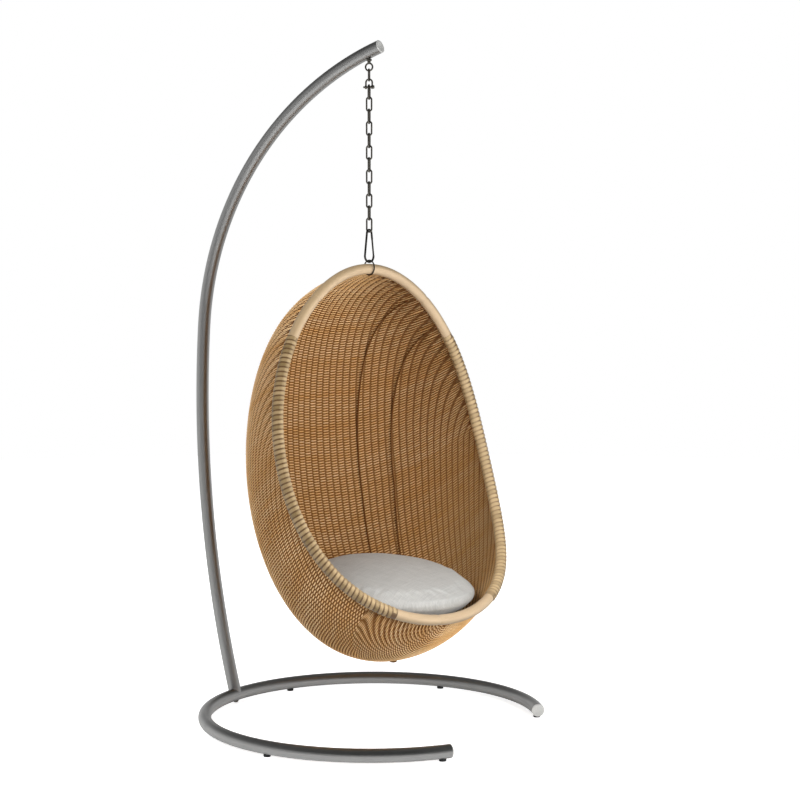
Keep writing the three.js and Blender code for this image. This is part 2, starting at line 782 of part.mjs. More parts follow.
function seatCushion(shell) {
  const profile = cushionProfile();
  const geometry = new THREE.LatheGeometry(profile, cushionSteps).rotateX(quarterTurn);
  const rays = new THREE.Raycaster();
  const overRibs = ribClearance + 2 * ribRadius + seatGap - cushionFacetSag;
  const wallShare = (direction, { x: share, y: height }) => {
    const from = new THREE.Vector3(cushionForward, 0, height + cushionHeight);
    rays.set(from, direction);
    const [hit] = rays.intersectObject(shell);
    if (!hit) return cushionRadius;
    return (hit.distance - overRibs / Math.abs(hit.face.normal.dot(direction))) / share;
  };
  const place = geometry.attributes.position;
  for (let i = 0; i < place.count; i += 1) {
    const direction = new THREE.Vector3(place.getX(i), place.getY(i), 0);
    const share = direction.length();
    direction.normalize();
    const rimward = profile.filter((point) => point.x > cushionRoundShare);
    const reach = share > 0
      ? Math.min(cushionRadius, ...rimward.map((point) => wallShare(direction, point)))
      : 0;
    const forward = share * reach * direction.x;
    const risen = Math.max(place.getZ(i) / cushionCrown, 0);
    place.setXYZ(i, forward, share * reach * direction.y, place.getZ(i) - cushionWedge * forward * risen);
  }
  return geometry;
}

// Assembly

function piece(name, geometry, material, position = [0, 0, 0], azimuth = 0) {
  const mesh = new THREE.Mesh(merged(geometry), material);
  mesh.name = name;
  mesh.position.set(...position);
  mesh.rotation.z = azimuth;
  return mesh;
}

function standPieces() {
  const backOfRing = [-ringRadius, 0, 0];
  const hangPoint = [hangReach, 0, eyeHeight];
  const pieces = [
    piece('base_ring', baseRing(), brushedSteel),
    piece('mast', mast(), brushedSteel),
    piece('mast_bolt', mastBolt(), darkSteel, backOfRing),
    piece('mast_washer', mastWasher(), darkSteel, backOfRing),
    piece('mast_foot_plug', mastFootPlug(), darkSteel, backOfRing),
    piece('eye_nut', eyeNut(), darkSteel, hangPoint),
    piece('eye_bolt', eyeBolt(), chainSteel, hangPoint, chainAzimuth),
  ];
  const capped = [
    ['base_ring_cap_left', ringPath, 0, 1],
    ['base_ring_cap_right', ringPath, 1, -1],
    ['mast_tip_cap', mastPath, 1, -1],
  ];
  for (const [name, path, share, sense] of capped) {
    const inward = path.getTangentAt(share).multiplyScalar(sense);
    pieces.push(piece(name, tubeCap(inward), brightCap, path.getPointAt(share).toArray()));
  }
  const footStep = (rearFootAngle - frontFootAngle) / (feetPerSide - 1);
  for (const side of [1, -1]) {
    for (let step = 0; step < feetPerSide; step += 1) {
      const angle = side * (frontFootAngle + footStep * step);
      const number = step + 1 + (side > 0 ? 0 : feetPerSide);
      const place = [ringRadius * Math.cos(angle), ringRadius * Math.sin(angle), 0];
      pieces.push(piece(`foot_${number}`, copedFoot(angle), blackRubber, place));
    }
  }
  return pieces;
}

// Hangs the chain gear piece below piece, and gives the height of the carabiner's seat
function chainPieces() {
  const crossAzimuth = chainAzimuth + quarterTurn;
  const pieces = [];
  let height = eyeHeight - eyeRadius;
  const hang = (name, geometry, material, azimuth) => pieces.push(
    piece(name, geometry, material, [hangReach, 0, height], azimuth),
  );
  hang('top_link', topLink(), chainSteel, crossAzimuth);
  height -= topLinkDrop;
  hang('shackle', shackle(), chainSteel, chainAzimuth);
  hang('shackle_pin', shacklePin(), chainSteel, chainAzimuth);
  height -= shacklePinDrop;
  for (let link = 1; link <= linkCount; link += 1) {
    const seat = link === 1 ? firstLinkSeat : linkSeat;
    const azimuth = link % 2 === 1 ? crossAzimuth : chainAzimuth;
    hang(`chain_link_${String(link).padStart(2, '0')}`, chainLink(seat), chainSteel, azimuth);
    height -= linkDrop(seat);
  }
  return { pieces, height };
}

function carabinerPieces(height) {
  const azimuth = podAzimuth + quarterTurn;
  const place = [hangReach, 0, height];
  const hinge = new THREE.Vector3(gateHinge.x, 0, gateHinge.y)
    .applyAxisAngle(new THREE.Vector3(0, 0, 1), azimuth)
    .add(new THREE.Vector3(...place))
    .toArray();
  const ringPlace = [hangReach, 0, height - hangerCentreDrop];
  return [
    piece('carabiner', carabiner(), darkSteel, place, azimuth),
    piece('carabiner_gate', carabinerGate(), darkSteel, hinge, azimuth),
    piece('gate_pin', gatePin(), chainSteel, hinge, azimuth),
    piece('hanger_ring', hangerRing(), darkSteel, ringPlace, podAzimuth),
  ];
}

function podPieces() {
  const shell = piece('woven_shell', wovenShell(), wovenCane);
  const knotPlace = lowestShellPoint.clone().setZ(lowestShellPoint.z - seatGap);
  const cushionPlace = [cushionForward, 0, cushionHeight];
  return [
    shell,
    piece('rim_top_pole', rimPole(-topSpliceAngle, topSpliceAngle, topPoleSteps), barePole),
    piece('rim_left_pole', rimPole(topSpliceAngle, bottomSpliceAngle, sidePoleSteps), barePole),
    piece('rim_right_pole', rimPole(-topSpliceAngle, bottomSpliceAngle - fullTurn, sidePoleSteps), barePole),
    piece('left_rim_binding', rimBinding('left_rim_binding', 1), woundPeel),
    piece('right_rim_binding', rimBinding('right_rim_binding', -1), woundPeel),
    piece('base_knot', baseKnot(), wovenCane, knotPlace.toArray()),
    piece('seat_cushion', seatCushion(shell), greyFabric, cushionPlace),
    ...ribSpreadShares.map((share, i) => piece(`shell_rib_${i + 1}`, rib(share), wovenCane)),
  ];
}

const chair = new THREE.Group();
const chain = chainPieces();
const pod = new THREE.Group();
pod.add(...podPieces());
pod.position.set(hangReach, 0, chain.height - hangerCentreDrop - poleDrop);
pod.rotation.z = podAzimuth;
chair.add(...standPieces(), ...chain.pieces, ...carabinerPieces(chain.height), pod);

// The origin is the middle of the footprint's box, on the floor
chair.position.x = -new THREE.Box3().setFromObject(chair).getCenter(new THREE.Vector3()).x;

export default chair;
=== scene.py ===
"""Hanging egg chair: woven cane pod, round seat pad, chain gear and bowed steel stand."""

import json
import math
from contextlib import contextmanager

import bmesh
import bpy
import numpy as np
from bpy.props import FloatProperty, FloatVectorProperty, IntProperty, PointerProperty
from bpy.types import Operator, Panel, PropertyGroup
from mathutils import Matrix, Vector, noise


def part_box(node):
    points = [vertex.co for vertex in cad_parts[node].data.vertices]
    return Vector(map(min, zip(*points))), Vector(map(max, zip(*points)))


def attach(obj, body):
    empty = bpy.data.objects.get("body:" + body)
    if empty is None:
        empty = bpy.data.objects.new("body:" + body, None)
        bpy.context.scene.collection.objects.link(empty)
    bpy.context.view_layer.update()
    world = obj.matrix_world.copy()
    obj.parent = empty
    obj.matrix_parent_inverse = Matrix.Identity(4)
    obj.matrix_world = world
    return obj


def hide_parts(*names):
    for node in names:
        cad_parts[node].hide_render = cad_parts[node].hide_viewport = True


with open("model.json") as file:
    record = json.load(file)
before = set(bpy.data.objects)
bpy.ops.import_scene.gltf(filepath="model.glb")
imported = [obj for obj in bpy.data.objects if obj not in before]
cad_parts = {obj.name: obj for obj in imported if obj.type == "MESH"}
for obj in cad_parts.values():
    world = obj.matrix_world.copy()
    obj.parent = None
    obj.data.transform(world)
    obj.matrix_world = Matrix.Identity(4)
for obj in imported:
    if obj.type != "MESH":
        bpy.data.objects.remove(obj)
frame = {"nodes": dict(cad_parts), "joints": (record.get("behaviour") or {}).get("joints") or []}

bl_info = {
    "name": "Hanging Egg Chair",
    "version": (1, 0, 0),
    "blender": (4, 5, 0),
    "location": "3D View > Sidebar > Egg Chair",
    "description": "Models a woven hanging chair with its seat pad, chain and steel stand",
    "category": "Add Mesh",
}

POD_ROCK = next(joint for joint in frame["joints"] if joint["name"] == "pod_rock")
HANG_POINT = Vector(POD_ROCK["pos_m"])
POD_TURN = math.atan2(*reversed(POD_ROCK["axis"][:2])) - math.pi / 2
CHAIN_TURN = math.radians(14)
CARABINER_TURN = math.radians(74)
QUARTER = math.pi / 2
FULL_TURN = 2 * math.pi
RIM_EGG = (1, -0.1, 0.14, -0.12)
SHELL_BULGE = (1, 0.09, 0.19, 0.09, 0.14)
SHELL_SINK = (1, -0.64, 0, -0.2, 0.23)
STAKE_TURNS = [math.radians(turn) for turn in (88, 95, 105, 113, 150)]
STAKE_SHARES = (1, 0.965, 0.92, 0.886, 0.75)
RIB_SHARES = (-0.72, -0.5, 0.5, 0.72)
RIB_LOW_SHARE = 0.72
SEAT_FRONT = math.radians(-35)
RIM_LEAN = 0.2
RIM_SWEEP = 3.2
SHELL_ROUNDNESS = 0.9
SHELL_CHEEK = 0.03
TOP_GATHER = 0.22


def size(label, default, hint):
    return FloatProperty(name=label, description=hint, default=default, unit="LENGTH", precision=4)


def angle(label, default, hint):
    return FloatProperty(name=label, description=hint, default=math.radians(default), subtype="ANGLE")


def number(label, default, hint, kind=FloatProperty):
    return kind(name=label, description=hint, default=default, min=0)


def colour(label, red, green, blue, hint):
    """A colour setting, its default given as screen values from 0 to 255."""
    return FloatVectorProperty(
        name=label, description=hint, subtype="COLOR", size=3, min=0, max=1,
        default=[linear_value(value / 255) for value in (red, green, blue)],
    )


def linear_value(part):
    return part / 12.92 if part <= 0.04045 else ((part + 0.055) / 1.055) ** 2.4


class StandSettings(PropertyGroup):
    tube_radius: size("Tube radius", 0.019, "Outside radius of the ring's and the mast's tube")
    ring_radius: size("Ring radius", 0.490, "From the ring's centre to the middle of its tube")
    ring_gap: angle("Ring gap", 68, "Opening at the front of the ring")
    lower_bow: size("Lower bow", 3.450, "Radius of the mast's long lower bow")
    upper_bow: size("Upper bow", 0.909, "Radius of the mast's upper bow")
    foot_lean: angle("Foot lean", 15.1, "How far the mast leans out at its foot")
    join_lean: angle("Join lean", 3.9, "The mast's lean where its two bows meet")
    tip_lean: angle("Tip lean", 72.1, "How far the mast has bent over at its tip")
    steel: colour("Brushed steel", 164, 164, 163, "Colour of the brushed tube")
    cap_height: size("Cap height", 0.0036, "Thickness of a tube cap")
    cap_shift: size("Cap shift", 0.0012, "From a tube's end to the middle of its cap")
    cap: colour("Caps", 214, 214, 211, "Colour of the bright tube caps")
    rubber: colour("Pads", 34, 34, 35, "Colour of the rubber pads")


class ChainSettings(PropertyGroup):
    wire_radius: size("Wire radius", 0.0025, "Radius of the chain's wire")
    link_half_width: size("Link half width", 0.0075, "From a link's middle to the middle of its wire")
    top_wire: size("Top wire", 0.002, "Radius of the wire of the top link and of the pod's ring")
    top_half_width: size("Top half width", 0.006, "Half the width of the top link, as above")
    shackle_half_width: size("Shackle half width", 0.0095, "Half the width of the shackle, as above")
    eye_radius: size("Eye radius", 0.0105, "Radius of the eye to the middle of its wire")
    carabiner_wire: size("Carabiner wire", 0.003, "Radius of the carabiner's wire")
    carabiner_top: size("Carabiner top", 0.009, "Radius of its narrow bend")
    carabiner_bottom: size("Carabiner bottom", 0.017, "Radius of its wide bend")
    steel: colour("Chain steel", 112, 109, 102, "Colour of the chain and the eye bolt")
    dark_steel: colour("Dark steel", 72, 70, 66, "Colour of the carabiner and its ring")


class PodSettings(PropertyGroup):
    rim_height: size("Rim height", 0.979, "Height of the rim's middle line")
    rim_half_width: size("Rim half width", 0.396, "Half the rim's width, before its egg shape")
    rim_reach: size("Rim reach", 0.332, "How far the rim's foot stands forward of its top")
    shell_depth: size("Shell depth", 0.354, "How far the shell stands behind the rim")
    shell_drop: size("Shell drop", 0.241, "How far the shell hangs below the rim")
    pole_radius: size("Pole radius", 0.015, "Radius of the bent rim pole")
    peel_radius: size("Peel radius", 0.0168, "Outside radius of the wound peel")
    peel_thickness: size("Peel thickness", 0.0018, "Thickness of the peel at its middle")
    peel_share: number("Peel share", 0.66, "Width of the peel, as a share of the way from turn to turn")
    peel_turns: number("Peel turns", 66, "Turns of peel on each side", IntProperty)
    peel_from: angle("Peel from", 53, "Angle from the rim's top at which the peel starts")
    peel_to: angle("Peel to", 159, "Angle from the rim's top at which the peel ends")
    pole_colour: colour("Bare pole", 200, 175, 142, "Colour of the bare, lacquered pole")
    peel_colour: colour("Wound peel", 200, 174, 134, "Colour of the wound peel")
    # Peel shade is the peel's darker grain tone, and also painted shade on the rim's side away from the pod.
    peel_shade: colour("Peel shade", 112, 92, 58, "Darker, greener tone of the weathered peel")
    # Gap shade is painted shadow, shown by a tube under the peel between two turns.
    gap_shade: colour("Gaps in the peel", 84, 60, 34, "Deep tone of the pole between two turns")


class WeaveSettings(PropertyGroup):
    columns: number("Columns", 72, "Pairs of stakes across the shell", IntProperty)
    column_pitch: size("Column pitch", 0.0235, "From one pair of stakes to the next")
    column_angle: angle("Column angle", 3.3333, "The same step, as an angle round the shell at mid height")
    row_pitch: size("Row pitch", 0.0041, "From one weaver to the next")
    weaver_radius: size("Weaver radius", 0.0019, "Radius of the fine cane that is woven across")
    stake_radius: size("Stake radius", 0.002, "Radius of the upright stakes")
    stake_spread: size("Stake spread", 0.0062, "Half the distance between the stakes of a pair")
    rise: size("Rise", 0.0032, "How far a weaver rides over the middle of the wall")
    depth: size("Depth", 0.0035, "From the shell's outside to the middle of the wall")
    rib_radius: size("Rib radius", 0.0022, "Radius of the four ribs inside the shell")
    rib_gap: size("Rib gap", 0.0004, "Gap between a rib and the weavers behind it")
    start: angle("Start", 3, "Angle from the rim's top at which the weave starts")
    end: angle("End", 177.6, "Angle from the rim's top at which the weave ends")
    grip: size("Grip", 0.011, "How near the rim's middle line the weave runs")
    pale: colour("Pale cane", 234, 204, 160, "Lighter tone of the weavers")
    warm: colour("Warm cane", 208, 160, 100, "Warmer tone of the weavers")
    # Gap shade is painted shade in the dips between stakes, and the darker grain tone of stakes and ribs.
    gap: colour("Gap shade", 108, 68, 32, "Deep tone where weavers dip between stakes")
    stake: colour("Stakes", 140, 96, 52, "Colour of the upright stakes")


class PadSettings(PropertyGroup):
    pressure: number("Pressure", 4, "How firmly the pad is filled")
    swell: size("Swell", 0.010, "How far the filled cloth may move above")
    swell_below: size("Swell below", 0.001, "How far it may move where the pad lies on the ribs")
    voxel: size("Voxel", 0.006, "Mesh size of the padded cloth")
    pleat_depth: size("Pleat depth", 0.007, "Depth of the pleats at the pad's edge")
    seam_depth: size("Seam depth", 0.001, "How far the seam round the edge draws in")
    fabric: colour("Fabric", 186, 185, 181, "Colour of the pad's cloth")
    shade: colour("Thread shade", 158, 157, 154, "Darker threads of the cloth")


class StageSettings(PropertyGroup):
    lens: FloatProperty(name="Lens", description="Focal length, 36 mm sensor", default=79.4, unit="CAMERA")
    camera_place: FloatVectorProperty(
        name="Camera place", description="Where the camera stands", subtype="TRANSLATION",
        default=(2.7271, -4.397, 1.2306),
    )
    camera_turn: angle("Camera turn", 120, "Compass angle that the camera looks along, from X")
    camera_tip: angle("Camera tip", 3.186, "How far the camera looks down")
    floor_radius: size("Floor radius", 9, "Radius of the studio floor")
    daylight: number("Daylight", 0.38, "Strength of the room's even light")
    key_light: number("Key light", 1, "Strength of the lamps")


# Adding, selecting, editing and finishing pieces


def deselect_all():
    bpy.ops.object.select_all(action="DESELECT")


def choose(*pieces):
    """Select these pieces alone, the last of them active."""
    deselect_all()
    for piece in pieces:
        piece.select_set(True)
    bpy.context.view_layer.objects.active = pieces[-1]


def add_shape(kind, **values):
    deselect_all()
    getattr(bpy.ops.mesh, f"primitive_{kind}_add")(**values)
    return bpy.context.object


@contextmanager
def editing(piece):
    """Edit a piece with all of it selected."""
    choose(piece)
    bpy.ops.object.mode_set(mode="EDIT")
    bpy.ops.mesh.select_mode(type="VERT")
    bpy.ops.mesh.select_all(action="SELECT")
    try:
        yield
    finally:
        bpy.ops.object.mode_set(mode="OBJECT")


def pick(piece, wanted, kind="VERT"):
    """Select the vertices, or the faces, that answer the question, in edit mode."""
    bpy.ops.mesh.select_mode(type=kind)
    mesh = bmesh.from_edit_mesh(piece.data)
    for part in mesh.faces if kind == "FACE" else mesh.verts:
        part.select = bool(wanted(part))
    mesh.select_flush_mode()
    bmesh.update_edit_mesh(piece.data)


def extrude(*step):
    bpy.ops.mesh.extrude_region_move(TRANSFORM_OT_translate={"value": step})


def apply_place(piece):
    choose(piece)
    bpy.ops.object.transform_apply(location=True, rotation=True, scale=True)
    return piece


def set_down(piece, turn, place):
    """Turn a piece about Z and move it from the origin to its place."""
    piece.rotation_euler = (0, 0, turn)
    piece.location = place
    return apply_place(piece)


def apply_modifier(piece, kind, **values):
    choose(piece)
    modifier = piece.modifiers.new(kind.title(), kind)
    for name, value in values.items():
        setattr(modifier, name, value)
    bpy.ops.object.modifier_apply(modifier=modifier.name)


def repeat(piece, count, *step):
    """Lay copies of a piece in a row, joined where their ends meet."""
    apply_modifier(
        piece, "ARRAY", count=count, use_relative_offset=False, use_constant_offset=True,
        constant_offset_displace=step, use_merge_vertices=True, merge_threshold=1e-5,
    )


def soften(piece, width, segments, limit):
    values = {"width": width, "segments": segments, "angle_limit": math.radians(limit)}
    apply_modifier(piece, "BEVEL", limit_method="ANGLE", **values)


def merge(piece, distance=1e-5):
    with editing(piece):
        bpy.ops.mesh.remove_doubles(threshold=distance)


def turn_outward(piece):
    with editing(piece):
        bpy.ops.mesh.normals_make_consistent(inside=False)


def close_ends(piece, sides=0):
    with editing(piece):
        bpy.ops.mesh.fill_holes(sides=sides)
    turn_outward(piece)


def join(*pieces):
    choose(*pieces)
    bpy.ops.object.join()
    return bpy.context.object


def copy_of(piece):
    choose(piece)
    bpy.ops.object.duplicate()
    return bpy.context.object


def read_all(items, name, kind=float, width=1):
    values = np.empty(len(items) * width, dtype=kind)
    items.foreach_get(name, values)
    return values


def places_of(piece):
    return read_all(piece.data.vertices, "co", width=3).reshape(-1, 3)


def move_to(piece, places):
    piece.data.vertices.foreach_set("co", np.ascontiguousarray(places, dtype=np.float32).ravel())
    piece.data.update()


def keep_value(piece, name, values):
    layer = piece.data.attributes.new(name, "FLOAT", "POINT")
    layer.data.foreach_set("value", np.broadcast_to(values, len(piece.data.vertices)).astype(np.float32))


def lay_uv(piece, along, around, girth=1e3):
    """Lay the surface flat in metres: its length, and its way round, which closes after the girth."""
    mesh = piece.data
    corners = read_all(mesh.loops, "vertex_index", int)
    starts = read_all(mesh.polygons, "loop_start", int)
    first = np.repeat(around[corners[starts]], np.diff(starts, append=len(corners)))
    way = around[corners]
    way = way - girth * np.round((way - first) / girth)
    layer = mesh.uv_layers.get("Surface") or mesh.uv_layers.new(name="Surface")
    layer.data.foreach_set("uv", np.stack([along[corners], way], 1).ravel())


def lay_round_uv(piece, radius, along, first, second):
    """Lay the surface of a round piece flat, and return each point's angle round it."""
    turn = np.arctan2(second, first)
    lay_uv(piece, along, turn * radius, FULL_TURN * radius)
    return turn


def finish_piece(piece, name, body, material, *nodes, slot=None, limit=40):
    """Name, place, smooth and colour a piece, and let it stand for its CAD nodes."""
    apply_place(piece)
    if limit:
        bpy.ops.object.shade_smooth_by_angle(angle=math.radians(limit))
    else:
        bpy.ops.object.shade_smooth()
    piece.name = name
    piece.data.name = name
    piece.data.materials.clear()
    piece.data.materials.append(bpy.data.materials[material])
    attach(piece, body)
    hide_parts(*nodes)


def dress_nodes(material, *names):
    for name in names:
        materials = frame["nodes"][name].data.materials
        materials.clear()
        materials.append(bpy.data.materials[material])


def middle_of(name):
    low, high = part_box(name)
    return (low + high) / 2


# Lines that tubes, poles and strands follow


def unit(vectors):
    return vectors / np.linalg.norm(vectors, axis=1, keepdims=True)


def reach_along(points):
    steps = np.linalg.norm(np.diff(points, axis=0), axis=1)
    return np.concatenate([[0], np.cumsum(steps)])


class Line:
    """A line through close points, with two directions square to it at each."""

    def __init__(self, points, side):
        self.points = np.asarray(points, dtype=float)
        self.reach = reach_along(self.points)
        self.length = self.reach[-1]
        self.forward = unit(np.gradient(self.points, self.reach, axis=0))
        side = np.broadcast_to(np.asarray(side, dtype=float), self.points.shape)
        self.side = unit(side - self.forward * (side * self.forward).sum(1, keepdims=True))
        self.up = np.cross(self.forward, self.side)

    def at(self, distance):
        def read(values):
            return np.stack([np.interp(distance, self.reach, values[:, axis]) for axis in range(3)], 1)

        beyond = (distance - np.clip(distance, 0, self.length))[:, None]
        return read(self.points) + beyond * read(self.forward), read(self.side), read(self.up)


def bend(piece, line):
    """Bend a piece that lies along X so that it follows the line."""
    places = places_of(piece)
    middle, side, up = line.at(places[:, 0])
    move_to(piece, middle + side * places[:, 1:2] + up * places[:, 2:3])
    return piece


def straight_tube(radius, length, sides, steps, closed_ends=True):
    """A tube along X: a circle that is extruded once and repeated."""
    tube = apply_place(add_shape("circle", vertices=sides, radius=radius, rotation=(0, QUARTER, 0)))
    with editing(tube):
        extrude(length / steps, 0, 0)
    repeat(tube, steps, length / steps, 0, 0)
    if closed_ends:
        close_ends(tube)
    else:
        turn_outward(tube)
    lay_round_uv(tube, radius, *places_of(tube).T)
    return tube


def tube_along(line, radius, sides, steps):
    return bend(straight_tube(radius, line.length, sides, steps), line)


def arc(centre, radius, start, end, count, plane="XZ"):
    turn = np.linspace(start, end, count)
    first, second = centre[0] + radius * np.cos(turn), centre[1] + radius * np.sin(turn)
    rest = np.zeros(count)
    return np.stack([first, rest, second] if plane == "XZ" else [first, second, rest], 1)


def turned(points, turn, place=(0, 0, 0)):
    """Points turned about Z and moved to a place."""
    cos, sin = math.cos(turn), math.sin(turn)
    x, y, z = np.asarray(points, dtype=float).T
    return np.stack([cos * x - sin * y, sin * x + cos * y, z], 1) + np.asarray(place)


def cylinder(radius, low, high, x):
    """An upright cylinder on the mast's plane, between two heights."""
    place = (x, 0, (low + high) / 2)
    return apply_place(add_shape("cylinder", vertices=24, radius=radius, depth=high - low, location=place))


def round_plate(radius, height, place, rotation, edge, sides=32):
    """A disc with a sunk inner face and softened edges."""
    plate = add_shape(
        "cylinder", vertices=sides, radius=radius, depth=height, location=place, rotation=rotation,
    )
    with editing(plate):
        pick(plate, lambda face: abs(face.normal.z) > 0.9, "FACE")
        bpy.ops.mesh.inset(thickness=radius * 0.3, depth=0)
        bpy.ops.mesh.inset(thickness=radius * 0.05, depth=-edge * 0.3)
    soften(plate, edge, segments=3, limit=50)
    x, y, _ = places_of(plate).T
    lay_round_uv(plate, radius, np.hypot(x, y), x, y)
    return apply_place(plate)


def wire_ring(radius, wire, around=48):
    """A ring of wire round the Y axis."""
    return apply_place(add_shape(
        "torus", major_radius=radius, minor_radius=wire, major_segments=around, minor_segments=16,
        location=(0, 0, 0), rotation=(QUARTER, 0, 0),
    ))


def long_link(radius, wire, name):
    """A ring whose lower half is drawn down to the length of its CAD node."""
    link = wire_ring(radius, wire)
    low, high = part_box(name)
    with editing(link):
        pick(link, lambda vertex: vertex.co.z < -1e-6)
        bpy.ops.transform.translate(value=(0, 0, 2 * (radius + wire) - high.z + low.z))
    return link


def hang(piece, name, drop, turn):
    """Turn a piece about Z and hang it a drop under the top of its CAD node."""
    middle = middle_of(name)
    set_down(piece, turn, (middle.x, middle.y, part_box(name)[1].z - drop))


# Node groups and materials


class Nodes:
    """Places and links the nodes of one material or group."""

    def __init__(self, tree):
        self.tree = tree

    def add(self, kind, inputs=None, **values):
        node = self.tree.nodes.new(kind)
        for name, value in values.items():
            setattr(node, name, value)
        for name, value in (inputs or {}).items():
            self.set(node.inputs[name], value)
        return node

    def set(self, socket, value):
        if isinstance(value, bpy.types.NodeSocket):
            self.tree.links.new(value, socket)
        elif socket.type == "RGBA" and len(value) == 3:
            socket.default_value = (*value, 1)
        else:
            socket.default_value = value

    def maths(self, operation, *values):
        node = self.add("ShaderNodeMath", operation=operation)
        for socket, value in zip(node.inputs, values):
            self.set(socket, value)
        return node.outputs[0]

    def mix(self, share, one, other, blend_type="MIX"):
        values = {0: share, 6: one, 7: other}
        return self.add("ShaderNodeMix", values, data_type="RGBA", blend_type=blend_type).outputs[2]

    def spread(self, value, low, high, to_low=0.0, to_high=1.0):
        return self.add("ShaderNodeMapRange", {
            "Value": value, "From Min": low, "From Max": high, "To Min": to_low, "To Max": to_high,
        }).outputs[0]

    def noise(self, vector, scale, detail=3.0, rough=0.55):
        """Noise of one scale, or stretched by a scale for each direction."""
        if not isinstance(scale, (int, float)):
            vector = self.add("ShaderNodeMapping", {"Vector": vector, "Scale": scale}).outputs[0]
            scale = 1
        values = {"Vector": vector, "Scale": scale, "Detail": detail, "Roughness": rough}
        return self.add("ShaderNodeTexNoise", values).outputs["Fac"]

    def random(self, value):
        return self.add("ShaderNodeTexWhiteNoise", {"W": value}, noise_dimensions="1D").outputs["Value"]

    def joined(self, x, y, z=0.0):
        return self.add("ShaderNodeCombineXYZ", {"X": x, "Y": y, "Z": z}).outputs[0]

    def parts(self, vector):
        return self.add("ShaderNodeSeparateXYZ", {"Vector": vector}).outputs

    def group(self, name, **inputs):
        return self.add("ShaderNodeGroup", inputs, node_tree=bpy.data.node_groups[name]).outputs

    def own_value(self, name):
        return self.add("ShaderNodeAttribute", attribute_name=name, attribute_type="GEOMETRY").outputs["Fac"]

    def surface_uv(self):
        return self.add("ShaderNodeUVMap", uv_map="Surface").outputs[0]

    def place(self, kind="Object"):
        return self.add("ShaderNodeTexCoord").outputs[kind]

    def light_path(self):
        return self.add("ShaderNodeLightPath").outputs


FLOAT, COLOUR, VECTOR = "NodeSocketFloat", "NodeSocketColor", "NodeSocketVector"


def start_group(name, inputs):
    """A group with these inputs, which gives a colour, a roughness and a height."""
    tree = bpy.data.node_groups.new(name, "ShaderNodeTree")
    for label, kind in inputs.items():
        tree.interface.new_socket(name=label, in_out="INPUT", socket_type=kind)
    for label, kind in (("Color", COLOUR), ("Roughness", FLOAT), ("Height", FLOAT)):
        tree.interface.new_socket(name=label, in_out="OUTPUT", socket_type=kind)
    nodes = Nodes(tree)
    return nodes, nodes.add("NodeGroupInput").outputs, nodes.add("NodeGroupOutput").inputs


def make_cane_group():
    """Cane's skin: long fibres and slow changes of tone."""
    inputs = {"Vector": VECTOR, "Light": COLOUR, "Dark": COLOUR, "Contrast": FLOAT}
    nodes, given, result = start_group("Cane skin", inputs)
    fibres = nodes.noise(given["Vector"], (60, 2200, 2200), 4)
    tone = nodes.noise(given["Vector"], (9, 60, 60), 2)
    share = nodes.maths("MULTIPLY", nodes.spread(tone, 0.3, 0.7), given["Contrast"])
    base = nodes.mix(share, given["Light"], given["Dark"])
    streaks = nodes.maths("MULTIPLY", nodes.spread(fibres, 0.45, 0.75), 0.35)
    nodes.set(result["Color"], nodes.mix(streaks, base, given["Dark"], "MULTIPLY"))
    nodes.set(result["Roughness"], nodes.spread(fibres, 0.2, 0.8, 0.48, 0.72))
    nodes.set(result["Height"], fibres)


def make_brush_group():
    """Fine brushing along metal, with faint handling marks."""
    inputs = {"Vector": VECTOR, "Colour": COLOUR, "Length": FLOAT, "Width": FLOAT}
    nodes, given, result = start_group("Brushed grain", inputs)
    scale = nodes.joined(given["Length"], given["Width"], given["Width"])
    streaks = nodes.noise(given["Vector"], scale, 5, 0.6)
    marks = nodes.noise(given["Vector"], 14, 4, 0.6)
    dim = nodes.mix(1.0, given["Colour"], (0.82, 0.82, 0.82), "MULTIPLY")
    grained = nodes.mix(nodes.spread(streaks, 0.3, 0.7), dim, given["Colour"])
    nodes.set(result["Color"], nodes.mix(nodes.spread(marks, 0.55, 0.85, 0, 0.3), grained, dim))
    rough, smudged = nodes.spread(streaks, 0.2, 0.8, 0.3, 0.42), nodes.spread(marks, 0.3, 0.8, 0, 0.08)
    nodes.set(result["Roughness"], nodes.maths("ADD", rough, smudged))
    nodes.set(result["Height"], streaks)


def make_cloth_group():
    """Plain-woven cloth: threads both ways, with thicker and thinner yarns."""
    inputs = {"Vector": VECTOR, "Light": COLOUR, "Dark": COLOUR, "Threads": FLOAT}
    nodes, given, result = start_group("Plain cloth", inputs)
    turns = nodes.maths("MULTIPLY", given["Threads"], FULL_TURN)
    parts = nodes.parts(given["Vector"])
    warp = nodes.maths("SINE", nodes.maths("MULTIPLY", parts["X"], turns))
    weft = nodes.maths("SINE", nodes.maths("MULTIPLY", parts["Y"], turns))
    crossing = nodes.maths("MULTIPLY", warp, weft)
    long_yarn = nodes.noise(given["Vector"], (12, 900, 60))
    cross_yarn = nodes.noise(given["Vector"], (900, 12, 60))
    yarns = nodes.maths("MULTIPLY", nodes.maths("ADD", long_yarn, cross_yarn), 0.5)
    mottle = nodes.noise(given["Vector"], 26)
    share = nodes.spread(yarns, 0.38, 0.62, 0, 0.75)
    share = nodes.maths("ADD", share, nodes.spread(crossing, -1, 1, -0.15, 0.15))
    share = nodes.maths("ADD", share, nodes.spread(mottle, 0.3, 0.7, -0.1, 0.12))
    nodes.set(result["Color"], nodes.mix(share, given["Light"], given["Dark"]))
    nodes.set(result["Roughness"], nodes.spread(yarns, 0.3, 0.7, 0.86, 0.96))
    nodes.set(result["Height"], nodes.maths("ADD", nodes.maths("MULTIPLY", crossing, 0.5), yarns))


def new_material(name, **values):
    """A material whose shader has these constants, named with low lines for blanks."""
    material = bpy.data.materials.new(name)
    material.use_nodes = True
    shader = material.node_tree.nodes["Principled BSDF"].inputs
    for label, value in values.items():
        shader[label.replace("_", " ")].default_value = value
    return material, Nodes(material.node_tree), shader


